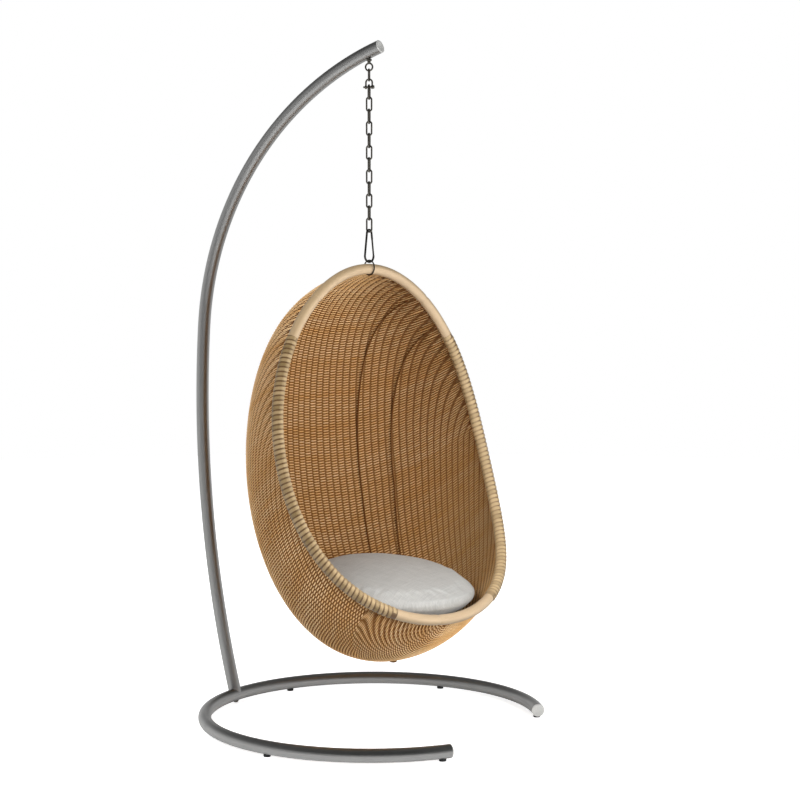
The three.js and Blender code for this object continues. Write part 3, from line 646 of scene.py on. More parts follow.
def wear_surface(nodes, shader, outputs, strength, distance):
    """Feed a colour, a roughness and a height into the shader."""
    nodes.set(shader["Base Color"], outputs["Color"])
    nodes.set(shader["Roughness"], outputs["Roughness"])
    values = {"Strength": strength, "Distance": distance, "Height": outputs["Height"]}
    nodes.set(shader["Normal"], nodes.add("ShaderNodeBump", values).outputs[0])


def metal(name, tone, length, width, metallic=1.0, bump=0.12, on_surface=False):
    _, nodes, shader = new_material(name, Metallic=metallic)
    vector = nodes.surface_uv() if on_surface else nodes.place()
    outputs = nodes.group("Brushed grain", Vector=vector, Colour=tone, Length=length, Width=width)
    wear_surface(nodes, shader, outputs, bump, distance=0.0003)


def cane(name, light, dark, contrast, coat, gloss, outward_shade=None):
    _, nodes, shader = new_material(name, Specular_IOR_Level=gloss, Coat_Weight=coat, Coat_Roughness=0.3)
    outputs = nodes.group("Cane skin", Vector=nodes.surface_uv(), Light=light, Dark=dark, Contrast=contrast)
    wear_surface(nodes, shader, outputs, 0.25, 0.0004)
    if outward_shade:
        # Painted shade: where the pole faces away from the pod, its colour is mixed towards the shade colour.
        share = nodes.spread(nodes.own_value("outward"), 0, 0.7, 0, 0.6)
        nodes.set(shader["Base Color"], nodes.mix(share, outputs["Color"], outward_shade))


def rubber(name, tone):
    _, nodes, shader = new_material(name)
    grain = nodes.noise(nodes.place(), 900)
    share = nodes.spread(grain, 0.3, 0.7)
    colours = nodes.mix(share, tone, [part * 1.8 for part in tone])
    rough = nodes.spread(grain, 0.3, 0.7, 0.7, 0.9)
    wear_surface(nodes, shader, {"Color": colours, "Roughness": rough, "Height": grain}, 0.3, distance=0.0003)


def wound_peel_material(pod):
    """Peel: glossy on its rounded face, each turn with its own tone, greyer in painted shade on its outer
    side.
    """
    _, nodes, shader = new_material("Wound peel", Coat_Weight=0.25, Coat_Roughness=0.3)
    outputs = nodes.group(
        "Cane skin", Vector=nodes.surface_uv(), Light=pod.peel_colour, Dark=pod.peel_shade, Contrast=0.25,
    )
    wear_surface(nodes, shader, outputs, 0.2, 0.0004)
    turn = nodes.own_value("turn")
    outward = nodes.own_value("outward")
    own = nodes.random(nodes.maths("FLOOR", turn))
    shade = nodes.maths("MULTIPLY", nodes.spread(own, 0.35, 1), 0.35)
    # Painted shade: the side that faces away from the pod is mixed towards the peel shade.
    shade = nodes.maths("ADD", shade, nodes.spread(outward, -0.2, 0.5, 0, 0.7))
    tone = nodes.mix(nodes.maths("MINIMUM", shade, 1.0), outputs["Color"], pod.peel_shade)
    # Painted shadow: the tube under the peel takes the gap colour between turns, most where it faces away
    # from the pod.
    gap_shadow_share = nodes.spread(outward, -0.6, 0.4, 0.4, 1)
    shadow_bed = nodes.maths("MULTIPLY", nodes.maths("LESS_THAN", turn, -5.0), gap_shadow_share)
    nodes.set(shader["Base Color"], nodes.mix(shadow_bed, tone, pod.gap_shade))


def weaver_material(weave):
    """Fine cane: each strand and band of strands has its tone; painted shade darkens dips between stakes."""
    _, nodes, shader = new_material("Woven cane", Specular_IOR_Level=0.2)
    vector = nodes.surface_uv()
    parts = nodes.parts(vector)
    row = nodes.maths("FLOOR", nodes.maths("DIVIDE", parts["Y"], weave.row_pitch))
    column = nodes.maths("DIVIDE", parts["X"], weave.column_pitch)
    patch = nodes.noise(nodes.joined(nodes.maths("MULTIPLY", column, 0.35), row), 0.9, 2)
    bands = nodes.noise(vector, (1.1, 15, 1), 3, 0.6)
    share = nodes.maths("MULTIPLY", nodes.random(row), 0.3)
    share = nodes.maths("ADD", share, nodes.spread(patch, 0.3, 0.7, 0, 0.35))
    share = nodes.maths("ADD", share, nodes.spread(bands, 0.38, 0.64, -0.15, 0.5))
    outputs = nodes.group("Cane skin", Vector=vector, Light=weave.pale, Dark=weave.warm, Contrast=0.5)
    wear_surface(nodes, shader, outputs, 0.25, 0.0003)
    tone = nodes.mix(nodes.maths("MINIMUM", share, 1.0), outputs["Color"], weave.warm)
    # Painted shade: between two pairs of stakes, where the weavers dip, the colour is mixed towards the gap
    # shade.
    off = nodes.maths("ABSOLUTE", nodes.maths("SUBTRACT", nodes.maths("FRACT", column), 0.5))
    nodes.set(shader["Base Color"], nodes.mix(nodes.spread(off, 0.3, 0.45, 0, 0.9), tone, weave.gap))


def fabric_material(pad):
    _, nodes, shader = new_material("Grey fabric", Sheen_Weight=0.18, Sheen_Roughness=0.45)
    vector = nodes.place()
    outputs = nodes.group("Plain cloth", Vector=vector, Light=pad.fabric, Dark=pad.shade, Threads=620.0)
    wear_surface(nodes, shader, outputs, 0.35, 0.0005)


# The pod's shape, forward along X and left along Y, from the top of its rim


def powers(shares, value):
    return sum(share * value ** power for power, share in enumerate(shares))


def rim_point(pod, turn):
    """The rim's middle line at an angle from its top, positive down the left side."""
    fall = (1 - np.cos(turn)) / 2
    return np.stack([
        pod.rim_reach * (RIM_LEAN * fall + (1 - RIM_LEAN) * fall ** RIM_SWEEP),
        pod.rim_half_width * np.sin(turn) * powers(RIM_EGG, np.cos(turn)),
        -pod.rim_height * fall,
    ], -1)


def shell_point(pod, turn, side):
    """The shell's outside at an angle from the rim's top and an angle from its middle."""
    x, y, z = np.moveaxis(rim_point(pod, turn), -1, 0)
    depth = np.sin(turn) * np.maximum(np.cos(side), 0) ** SHELL_ROUNDNESS
    return np.stack([
        x - pod.shell_depth * depth * powers(SHELL_BULGE, np.cos(turn)),
        y * np.sin(side) * (1 + SHELL_CHEEK * np.cos(side)),
        z - pod.shell_drop * depth * powers(SHELL_SINK, np.cos(turn)),
    ], -1)


def shell_inside(pod, turn, side, depth):
    """A place at a depth inside the shell's outside, where depth may differ from place to place."""
    step = 4e-4
    near = np.clip(side, step - QUARTER, QUARTER - step)
    down = shell_point(pod, turn + step, near) - shell_point(pod, turn - step, near)
    left = shell_point(pod, turn, near + step) - shell_point(pod, turn, near - step)
    inward = unit(np.cross(down, left))
    return shell_point(pod, turn, side) + inward * np.broadcast_to(depth, turn.shape)[..., None]


def into_room(points):
    return turned(points, POD_TURN, HANG_POINT)


def rim_line(pod, start, end):
    points = rim_point(pod, np.linspace(start, end, 900))
    return Line(into_room(points), turned([[1, 0, 0]], POD_TURN)[0])


class ShellMap:
    """Takes the flat mat of the weave to the shell: lengths across and down to angles."""

    def __init__(self, pod, weave):
        self.pod, self.weave = pod, weave
        self.turns = np.linspace(weave.start, weave.end, 700)
        self.reach = reach_along(shell_inside(pod, self.turns, np.zeros(700), weave.depth))
        self.length = self.reach[-1]
        self.edge_turns = np.linspace(weave.start, weave.end, 160)
        self.edges = np.array([self.edge_at(turn) for turn in self.edge_turns])

    def edge_at(self, turn):
        """The side angle at which the wall's middle enters the rim."""
        sides = np.linspace(0, QUARTER, 260)
        wall = shell_inside(self.pod, np.full(260, turn), sides, self.weave.depth)
        rim = rim_point(self.pod, np.linspace(0, math.pi, 700))
        gaps = np.linalg.norm(wall[:, None] - rim[None], axis=2).min(1)
        inside = np.flatnonzero(gaps < self.weave.grip)
        return sides[inside[0]] if len(inside) else QUARTER

    def edge_near(self, turn):
        return np.interp(turn, self.edge_turns, self.edges)

    def lay(self, piece):
        """Lay a flat mat on the shell, and say which of its points lie beyond the rim."""
        across, down, height = places_of(piece).T
        turn = np.interp(down, self.reach, self.turns)
        share = np.interp(turn, STAKE_TURNS, STAKE_SHARES)
        wanted = across / self.weave.column_pitch * self.weave.column_angle * share
        width = np.sin(np.clip(wanted, -QUARTER, QUARTER))
        width = width * rim_point(self.pod, np.clip(turn, STAKE_TURNS[0], STAKE_TURNS[-1]))[:, 1]
        drawn_in = 1 - TOP_GATHER * np.maximum(STAKE_TURNS[0] - turn, 0) ** 2
        side = np.arcsin(np.clip(width * drawn_in / rim_point(self.pod, turn)[:, 1], -1, 1))
        edge = self.edge_near(turn)
        beyond = np.abs(side) >= edge
        depth = self.weave.depth - np.where(beyond, 0, height)
        move_to(piece, into_room(shell_inside(self.pod, turn, np.clip(side, -edge, edge), depth)))
        return beyond


# Operators: one for each piece or group of like pieces


class EGG_OT_finishes(Operator):
    """Make the node groups and the materials of every piece"""
    bl_idname = "egg_chair.finishes"
    bl_label = "Finishes"

    def execute(self, context):
        scene = context.scene
        stand, chain, pod, weave = scene.egg_stand, scene.egg_chain, scene.egg_pod, scene.egg_weave
        make_cane_group()
        make_brush_group()
        make_cloth_group()
        metal("Brushed tube", stand.steel, length=5.0, width=700.0, bump=0.03, on_surface=True)
        metal("Bright cap", stand.cap, length=200.0, width=400.0, metallic=0.6)
        metal("Chain steel", chain.steel, length=300.0, width=700.0)
        metal("Dark steel", chain.dark_steel, length=300.0, width=700.0)
        rubber("Foot rubber", stand.rubber)
        pole_shade = [part * 0.72 for part in pod.pole_colour]
        # Rib cane: the stakes' colour darkened, partly its own tone and partly painted shadow along the ribs.
        rib_tone_and_shadow = [part * 0.62 for part in weave.stake]
        cane(
            "Bare pole", pod.pole_colour, pole_shade, contrast=0.45, coat=0.4, gloss=0.5,
            outward_shade=pod.peel_shade,
        )
        wound_peel_material(pod)
        weaver_material(weave)
        cane("Stake cane", weave.stake, weave.gap, contrast=0.6, coat=0, gloss=0.15)
        cane("Rib cane", rib_tone_and_shadow, weave.gap, contrast=0.7, coat=0, gloss=0.2)
        fabric_material(scene.egg_pad)
        return {"FINISHED"}


class EGG_OT_base_ring(Operator):
    """Bend the base ring's tube round, open at the front"""
    bl_idname = "egg_chair.base_ring"
    bl_label = "Base ring"

    def execute(self, context):
        stand = context.scene.egg_stand
        centre = (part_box("base_ring")[0].x + stand.ring_radius + stand.tube_radius, 0)
        half_gap = stand.ring_gap / 2
        points = arc(centre, stand.ring_radius, half_gap, FULL_TURN - half_gap, 1500, "XY")
        points[:, 2] = middle_of("base_ring").z
        ring = tube_along(Line(points, (0, 0, 1)), stand.tube_radius, sides=32, steps=96)
        finish_piece(ring, "ring_tube", "stand", "Brushed tube", "base_ring")
        return {"FINISHED"}


class EGG_OT_mast(Operator):
    """Bend the mast's tube in its two bows"""
    bl_idname = "egg_chair.mast"
    bl_label = "Mast"

    def execute(self, context):
        stand = context.scene.egg_stand
        low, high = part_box("base_ring")
        foot = np.array([low.x + stand.tube_radius, high.z - stand.tube_radius])
        lower = foot + stand.lower_bow * np.array([math.cos(stand.foot_lean), math.sin(stand.foot_lean)])
        inset = stand.lower_bow - stand.upper_bow
        upper = lower - inset * np.array([math.cos(stand.join_lean), -math.sin(stand.join_lean)])
        join_turn = math.pi - stand.join_lean
        points = np.concatenate([
            arc(lower, stand.lower_bow, math.pi + stand.foot_lean, join_turn, 900),
            arc(upper, stand.upper_bow, join_turn, math.pi - stand.tip_lean, 900)[1:],
        ])
        mast = tube_along(Line(points, (0, 1, 0)), stand.tube_radius, sides=32, steps=90)
        finish_piece(mast, "mast_tube", "stand", "Brushed tube", "mast")
        dress_nodes("Chain steel", "mast_bolt", "mast_washer", "eye_nut")
        dress_nodes("Dark steel", "mast_foot_plug")
        return {"FINISHED"}


class EGG_OT_caps(Operator):
    """Close the tube's three open ends with bright caps"""
    bl_idname = "egg_chair.caps"
    bl_label = "Tube caps"

    def execute(self, context):
        stand = context.scene.egg_stand
        centre_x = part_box("base_ring")[0].x + stand.ring_radius + stand.tube_radius
        for side, sign in (("left", 1), ("right", -1)):
            name = f"base_ring_cap_{side}"
            cos, sin = math.cos(stand.ring_gap / 2), sign * math.sin(stand.ring_gap / 2)
            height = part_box(name)[1].z - stand.tube_radius
            end = Vector((centre_x + stand.ring_radius * cos, stand.ring_radius * sin, height))
            self.add_cap(stand, name, end, Vector((sin, -cos, 0)) * sign)
        along = Vector((math.sin(stand.tip_lean), 0, math.cos(stand.tip_lean)))
        places = places_of(bpy.data.objects["mast_tube"])
        reach = places @ np.array(along)
        self.add_cap(stand, "mast_tip_cap", Vector(places[reach > reach.max() - 1e-4].mean(0)), along)
        return {"FINISHED"}

    @staticmethod
    def add_cap(stand, name, end, along):
        turn = along.to_track_quat("Z", "Y").to_euler()
        place = end + along * stand.cap_shift
        cap = round_plate(stand.tube_radius * 0.995, stand.cap_height, place, turn, edge=0.0009)
        finish_piece(cap, f"{name}_disc", "stand", "Bright cap", name, limit=35)


class EGG_OT_pads(Operator):
    """Set the rubber pads under the ring"""
    bl_idname = "egg_chair.pads"
    bl_label = "Floor pads"

    def execute(self, context):
        for name in [f"foot_{place}" for place in range(1, 7)]:
            low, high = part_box(name)
            radius, height = (high.x - low.x) / 2, high.z - low.z
            pad = round_plate(radius, height, middle_of(name), (0, 0, 0), edge=0.0012)
            finish_piece(pad, f"{name}_pad", "stand", "Foot rubber", name, limit=35)
        return {"FINISHED"}


class EGG_OT_eye_bolt(Operator):
    """Shape the eye bolt: a ring on a collared shank"""
    bl_idname = "egg_chair.eye_bolt"
    bl_label = "Eye bolt"

    def execute(self, context):
        chain = context.scene.egg_chain
        low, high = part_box("eye_bolt")
        x, middle = HANG_POINT.x, low.z + chain.eye_radius + chain.wire_radius
        top = middle + chain.eye_radius
        shank_radius, collar_radius, collar_width = 0.004, 0.008, 0.005
        shank = cylinder(shank_radius, top, high.z, x)
        with editing(shank):
            pick(shank, lambda face: face.normal.z < -0.9, "FACE")
            bpy.ops.transform.resize(value=(1.25, 1.25, 1))
        collar_low = top + 0.007
        collar = cylinder(collar_radius, collar_low, collar_low + collar_width, x)
        with editing(collar):
            pick(collar, lambda face: abs(face.normal.z) > 0.9, "FACE")
            bpy.ops.mesh.inset(thickness=0.0012, depth=0.0005)
        ring = set_down(wire_ring(chain.eye_radius, chain.wire_radius), CHAIN_TURN, (x, 0, middle))
        bolt = join(shank, collar, ring)
        soften(bolt, width=0.0005, segments=2, limit=40)
        finish_piece(bolt, "eye_bolt_body", "stand", "Chain steel", "eye_bolt")
        return {"FINISHED"}


class EGG_OT_chain(Operator):
    """Hang the top link, the shackle with its pin and the twelve links"""
    bl_idname = "egg_chair.chain"
    bl_label = "Chain"

    def execute(self, context):
        chain = context.scene.egg_chain
        half_width, wire = chain.top_half_width, chain.top_wire
        top = long_link(half_width, wire, "top_link")
        hang(top, "top_link", half_width + wire, CHAIN_TURN + QUARTER)
        finish_piece(top, "top_link_wire", "top_link_body", "Chain steel", "top_link", limit=60)
        self.add_shackle(chain.shackle_half_width, chain.wire_radius)
        self.add_pin()
        half_width, wire = chain.link_half_width, chain.wire_radius
        pattern = long_link(half_width, wire, "chain_link_01")
        for place in range(1, 13):
            name = f"chain_link_{place:02d}"
            link = copy_of(pattern)
            hang(link, name, half_width + wire, CHAIN_TURN + place % 2 * QUARTER)
            finish_piece(link, f"{name}_wire", f"link_{place:02d}", "Chain steel", name, limit=60)
        choose(pattern)
        bpy.ops.object.delete()
        return {"FINISHED"}

    @staticmethod
    def add_shackle(half_width, wire):
        leg = middle_of("shackle_pin").z - (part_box("shackle")[1].z - half_width - wire)
        bow = wire_ring(half_width, wire)
        with editing(bow):
            bpy.ops.mesh.bisect(plane_co=(0, 0, 0), plane_no=(0, 0, 1), clear_inner=True)
            pick(bow, lambda vertex: abs(vertex.co.z) < 1e-6)
            extrude(0, 0, leg)
            bpy.ops.mesh.select_all(action="SELECT")
            bpy.ops.mesh.fill_holes(sides=0)
        radius, width, edge = 0.0055, 0.005, 0.0007
        ears = [
            round_plate(radius, width, (sign * half_width, 0, leg), (0, QUARTER, 0), edge, 24)
            for sign in (-1, 1)
        ]
        shackle = join(*ears, bow)
        hang(shackle, "shackle", half_width + wire, CHAIN_TURN)
        finish_piece(shackle, "shackle_bow", "shackle_body", "Chain steel", "shackle", limit=35)

    @staticmethod
    def add_pin():
        low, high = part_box("shackle_pin")
        length = (high.x - low.x) / math.cos(CHAIN_TURN) - 0.002
        shaft_radius, head_radius, head_width = 0.0027, 0.005, 0.004
        shaft = round_plate(shaft_radius, length, (0, 0, 0), (0, QUARTER, 0), 0.0006, 20)
        head_place = ((length - head_width) / 2, 0, 0)
        head = round_plate(head_radius, head_width, head_place, (0, QUARTER, 0), 0.0007, 20)
        pin = set_down(join(shaft, head), CHAIN_TURN, middle_of("shackle_pin"))
        finish_piece(pin, "shackle_pin_body", "shackle_body", "Chain steel", "shackle_pin", limit=35)


class EGG_OT_carabiner(Operator):
    """Bend the carabiner, and add its gate and the ring that it carries"""
    bl_idname = "egg_chair.carabiner"
    bl_label = "Carabiner and ring"

    def execute(self, context):
        chain = context.scene.egg_chain
        low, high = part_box("carabiner")
        wire, narrow, wide = chain.carabiner_wire, chain.carabiner_top, chain.carabiner_bottom
        top = high.z - wire - narrow
        bottom = low.z + wire + wide
        taper = math.asin((wide - narrow) / (top - bottom))
        gate_side = np.array([math.cos(taper), 0, math.sin(taper)])
        nose = gate_side * wide + np.array([0, 0, bottom])
        shoulder = gate_side * narrow + np.array([0, 0, top])
        hinge_share, gate_radius = 0.7, 0.0025
        hinge = nose + (shoulder - nose) * hinge_share
        points = np.concatenate([
            arc((0, bottom), wide, taper, -math.pi - taper, 300),
            arc((0, top), narrow, math.pi - taper, taper, 200),
            np.linspace(shoulder, hinge, 30)[1:],
        ])
        hook = self.bent(points, wire, steps=90)
        finish_piece(hook, "carabiner_wire", "carabiner_body", "Dark steel", "carabiner", limit=50)
        gate = self.bent(np.linspace(hinge, nose, 40), gate_radius, steps=12)
        with editing(gate):
            pick(gate, lambda face: len(face.verts) > 4, "FACE")
            bpy.ops.mesh.inset(thickness=0.0006, depth=0.0005)
        finish_piece(gate, "carabiner_gate_bar", "gate_body", "Dark steel", "carabiner_gate", limit=50)
        dress_nodes("Dark steel", "gate_pin")
        low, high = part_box("hanger_ring")
        ring = wire_ring((high.z - low.z) / 2 - chain.top_wire, chain.top_wire, around=72)
        set_down(ring, POD_TURN, middle_of("hanger_ring"))
        finish_piece(ring, "hanger_ring_wire", "hanger", "Dark steel", "hanger_ring", limit=60)
        return {"FINISHED"}

    @staticmethod
    def bent(points, wire, steps):
        """Wire bent along points in the carabiner's own upright plane."""
        points = turned(points, CARABINER_TURN, (HANG_POINT.x, 0, 0))
        return tube_along(Line(points, turned([[0, 1, 0]], CARABINER_TURN)[0]), wire, 16, steps)


def mark_outward(piece, side):
    """Keep how far each point of a pole along X faces away from the pod, on the side given as 1 or -1."""
    _, y, z = places_of(piece).T
    keep_value(piece, "outward", -side * np.sin(np.arctan2(z, y)))


class EGG_OT_rim(Operator):
    """Bend the rim's three lengths of pole"""
    bl_idname = "egg_chair.rim"
    bl_label = "Rim poles"

    def execute(self, context):
        pod = context.scene.egg_pod
        lengths = ("top", -35, 35, 60), ("left", 35, 185, 150), ("right", -35, -175, 150)
        for side, start, end, steps in lengths:
            name = f"rim_{side}_pole"
            line = rim_line(pod, math.radians(start), math.radians(end))
            pole = straight_tube(pod.pole_radius, line.length, 24, steps)
            with editing(pole):
                pick(pole, lambda vertex: not 1e-4 < vertex.co.x < line.length - 1e-4)
                bpy.ops.transform.resize(value=(1, 0.9, 0.9), center_override=(0, 0, 0))
            mark_outward(pole, math.copysign(1, end))
            finish_piece(bend(pole, line), f"{name}_cane", "pod", "Bare pole", name)
        return {"FINISHED"}


class EGG_OT_binding(Operator):
    """Wind flat peel round both sides of the rim"""
    bl_idname = "egg_chair.binding"
    bl_label = "Rim bindings"

    def execute(self, context):
        pod = context.scene.egg_pod
        for side, sign in (("left", 1), ("right", -1)):
            line = rim_line(pod, sign * pod.peel_from, sign * pod.peel_to)
            pitch = line.length / (pod.peel_turns + 1)
            strip = self.wound_strip(pod, pitch)
            x, y, z = places_of(strip).T
            turn = lay_round_uv(strip, pod.peel_radius, x, y, z)
            keep_value(strip, "turn", np.floor(x / pitch - turn / FULL_TURN + 0.5))
            # A tube under the peel, whose colour paints the shadow in the gaps between turns.
            shadow_bed = straight_tube(pod.pole_radius + 0.0002, line.length, sides=24, steps=110)
            keep_value(shadow_bed, "turn", -10)
            strip = join(shadow_bed, strip)
            mark_outward(strip, sign)
            bend(strip, line)
            finish_piece(strip, f"{side}_wound_peel", "pod", "Wound peel", f"{side}_rim_binding", limit=60)
        return {"FINISHED"}

    @staticmethod
    def wound_strip(pod, pitch):
        """One section of peel with a rounded back, screwed round X for all its turns."""
        width, thick = pitch * pod.peel_share, pod.peel_thickness
        strip = add_shape("plane", size=1, location=(0, 0, 0))
        strip.scale = (width, thick, 1)
        apply_place(strip)
        with editing(strip):
            bpy.ops.mesh.delete(type="ONLY_FACE")
            bpy.ops.mesh.select_all(action="SELECT")
            bpy.ops.mesh.subdivide(number_cuts=2)
            pick(strip, lambda vertex: vertex.co.y > thick * 0.4 and abs(vertex.co.x) > width * 0.4)
            bpy.ops.transform.translate(value=(0, -thick * 0.45, 0))
            bpy.ops.mesh.select_all(action="SELECT")
            bpy.ops.transform.translate(value=(width / 2, pod.peel_radius - thick / 2, 0))
        apply_modifier(
            strip, "SCREW", axis="X", angle=FULL_TURN, screw_offset=pitch, iterations=pod.peel_turns,
            steps=18, render_steps=18, use_merge_vertices=False, use_smooth_shade=True,
        )
        merge(strip)
        close_ends(strip)
        return strip


def weave_rows(weave, shell, first, last):
    """A band of weavers from one row to another, laid on the shell."""
    pitch, over = weave.column_pitch, 2 * weave.stake_spread
    left = -(weave.columns + 1) / 2 * pitch - weave.stake_spread
    mat = apply_place(add_shape("circle", vertices=4, radius=weave.weaver_radius, rotation=(0, QUARTER, 0)))
    with editing(mat):
        bpy.ops.transform.translate(value=(left, (first + 0.5) * weave.row_pitch, weave.rise))
        for forward, rises in ((over, 0), (pitch - over, -2), (over, 0), (pitch - over, 2)):
            extrude(forward, 0, rises * weave.rise)
    repeat(mat, weave.columns // 2 + 1, 2 * pitch, 0, 0)
    with editing(mat):
        bpy.ops.mesh.duplicate_move(TRANSFORM_OT_translate={"value": (-pitch, weave.row_pitch, 0)})
    repeat(mat, (last - first) // 2, 0, 2 * weave.row_pitch, 0)
    across, down, _ = places_of(mat).T
    lay_uv(mat, across, down)
    shell.lay(mat)
    merge(mat, 5e-5)
    close_ends(mat, 4)
    return mat


def wall_core(weave, shell):
    """The tightly packed cane in the middle of the wall, which closes it behind every gap."""
    core = add_shape("grid", x_subdivisions=weave.columns * 2, y_subdivisions=150, size=1)
    core.scale = (weave.columns * weave.column_pitch, shell.length, 1)
    core.location = (0, shell.length / 2, 0)
    apply_place(core)
    across, down, _ = places_of(core).T
    lay_uv(core, across, down)
    shell.lay(core)
    merge(core, 1e-4)
    apply_modifier(core, "SOLIDIFY", thickness=0.0006, offset=0)
    turn_outward(core)
    return core


def finish_woven(piece, name, material, node="woven_shell", limit=None):
    finish_piece(piece, name, "pod", material, node, slot="woven_cane", limit=limit)


class EGG_OT_weave(Operator):
    """Weave the fine cane over and under the stakes, row by row"""
    bl_idname = "egg_chair.weave"
    bl_label = "Weave"

    def execute(self, context):
        weave = context.scene.egg_weave
        shell = ShellMap(context.scene.egg_pod, weave)
        finish_woven(wall_core(weave, shell), "weave_core", "Stake cane")
        rows = int(shell.length / weave.row_pitch) // 2 * 2
        third = rows // 6 * 2
        bands = ("upper", 0, third), ("middle", third, 2 * third), ("lower", 2 * third, rows)
        for name, first, last in bands:
            finish_woven(weave_rows(weave, shell, first, last), f"weave_{name}", "Woven cane")
        return {"FINISHED"}


class EGG_OT_stakes(Operator):
    """Run pairs of stakes from the rim's top to its bottom"""
    bl_idname = "egg_chair.stakes"
    bl_label = "Stakes"

    def execute(self, context):
        weave = context.scene.egg_weave
        shell = ShellMap(context.scene.egg_pod, weave)
        stakes = straight_tube(weave.stake_radius, shell.length, sides=5, steps=84, closed_ends=False)
        set_down(stakes, QUARTER, (-weave.stake_spread - (weave.columns - 1) / 2 * weave.column_pitch, 0, 0))
        repeat(stakes, 2, 2 * weave.stake_spread, 0, 0)
        repeat(stakes, weave.columns, weave.column_pitch, 0, 0)
        beyond = shell.lay(stakes)
        with editing(stakes):
            pick(stakes, lambda vertex: beyond[vertex.index])
            bpy.ops.mesh.delete(type="VERT")
        close_ends(stakes)
        finish_woven(stakes, "stakes", "Stake cane")
        return {"FINISHED"}


class EGG_OT_ribs(Operator):
    """Lay the four ribs on the inside of the weave"""
    bl_idname = "egg_chair.ribs"
    bl_label = "Ribs"

    def execute(self, context):
        pod, weave = context.scene.egg_pod, context.scene.egg_weave
        shell = ShellMap(pod, weave)
        depth = weave.depth + weave.rise + weave.weaver_radius + weave.rib_radius + weave.rib_gap
        turn = np.interp(np.linspace(0, shell.length, 500), shell.reach, shell.turns)
        low_turn = STAKE_TURNS[-1]
        parallel = np.clip(turn, QUARTER, low_turn)
        drawn_in = np.interp(parallel, (STAKE_TURNS[0], low_turn), (1, RIB_LOW_SHARE))
        width = rim_point(pod, parallel)[:, 1] * drawn_in / rim_point(pod, turn)[:, 1]
        for place, share in enumerate(RIB_SHARES, 1):
            side = np.arcsin(np.clip(share * width, -1, 1))
            keep = np.abs(side) < shell.edge_near(turn)
            points = into_room(shell_inside(pod, turn[keep], side[keep], depth))
            rib = tube_along(Line(points, (0, 1, 0)), weave.rib_radius, sides=12, steps=80)
            finish_woven(rib, f"inner_rib_{place}", "Rib cane", f"shell_rib_{place}", 50)
        return {"FINISHED"}


class EGG_OT_knot(Operator):
    """Press the cane button under the shell"""
    bl_idname = "egg_chair.knot"
    bl_label = "Base button"

    def execute(self, context):
        low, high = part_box("base_knot")
        middle, radius = middle_of("base_knot"), 0.011
        knot = apply_place(add_shape(
            "uv_sphere", segments=28, ring_count=16, radius=1, location=middle, scale=(high - low) / 2,
        ))
        with editing(knot):
            pick(knot, lambda vertex: vertex.co.z < middle.z)
            bpy.ops.transform.resize(value=(0.94, 0.94, 1), center_override=middle)
        x, y, z = places_of(knot).T
        lay_round_uv(knot, radius, z, x - middle.x, y - middle.y)
        finish_woven(knot, "base_button", "Rib cane", "base_knot", 60)
        return {"FINISHED"}


class EGG_OT_seat_pad(Operator):
    """Fill the round seat pad, draw in its seam and press its pleats"""
    bl_idname = "egg_chair.seat_pad"
    bl_label = "Seat pad"

    def execute(self, context):
        pad = context.scene.egg_pad
        cushion = copy_of(frame["nodes"]["seat_cushion"])
        cushion.parent = None
        for key in list(cushion.keys()):
            del cushion[key]
        merge(cushion)
        middle = np.array(middle_of("seat_cushion"))
        share_before_filling = 0.985
        move_to(cushion, (places_of(cushion) - middle) * share_before_filling + middle)
        apply_modifier(cushion, "REMESH", mode="VOXEL", voxel_size=pad.voxel)
        start = places_of(cushion)
        self.fill(pad, cushion)
        self.shape_edge(pad, cushion, start, middle)
        apply_modifier(cushion, "SUBSURF", levels=1, render_levels=1)
        finish_piece(cushion, "seat_pad", "cushion", "Grey fabric", "seat_cushion", limit=None)
        return {"FINISHED"}

    @staticmethod
    def fill(pad, cushion):
        """Swell the cloth with pressure, without weight, and keep the result."""
        scene = bpy.context.scene
        cloth = cushion.modifiers.new("Cloth", "CLOTH")
        cloth.settings.use_pressure = True
        cloth.settings.uniform_pressure_force = pad.pressure
        cloth.settings.effector_weights.gravity = 0
        for frame_number in range(1, 21):
            scene.frame_set(frame_number)
        choose(cushion)
        bpy.ops.object.modifier_apply(modifier=cloth.name)
        scene.frame_set(1)

    @staticmethod
    def shape_edge(pad, cushion, start, middle):
        """Cap how far the cloth moved, then press the pleats and the seam round the edge."""
        moved = places_of(cushion) - start
        far = np.linalg.norm(moved, axis=1, keepdims=True)
        under = np.clip((middle[2] - start[:, 2:3]) / 0.02 + 0.6, 0, 1)
        cap = pad.swell * (1 - under) + pad.swell_below * under
        places = start + moved * np.minimum(1, cap / np.maximum(far, 1e-9))
        arm = (places - middle) * (1, 1, 0)
        reach = np.linalg.norm(arm, axis=1)
        turn = np.arctan2(arm[:, 1], arm[:, 0])
        height = places[:, 2] - middle[2]
        front = 0.35 + 0.65 * np.clip(np.cos(turn - SEAT_FRONT), 0, 1) ** 1.5
        pleat_count, crease_count = 46, 71
        waves = np.sin(turn * pleat_count + 1.6 * np.sin(turn * 5)) + 0.5 * np.sin(turn * crease_count + 0.7)
        near_edge = np.clip((reach / reach.max() - 0.72) / 0.28, 0, 1)
        level = np.exp(-(((height + 0.008) / 0.03) ** 2))
        pleats = pad.pleat_depth * 0.5 * waves * near_edge * level * front
        seam = pad.seam_depth * np.exp(-(((height + 0.014) / 0.0045) ** 2)) * near_edge
        places -= arm * ((seam + np.abs(pleats) * 0.4) / np.maximum(reach, 1e-6))[:, None]
        places[:, 2] += pleats * 0.55 * np.clip(height / 0.02 + 1, 0, 1)
        slow = np.array([noise.noise(Vector(place) * 9) for place in places])
        places[:, 2] += slow * 0.0022 * np.clip(height / 0.03, 0, 1)
        move_to(cushion, places)


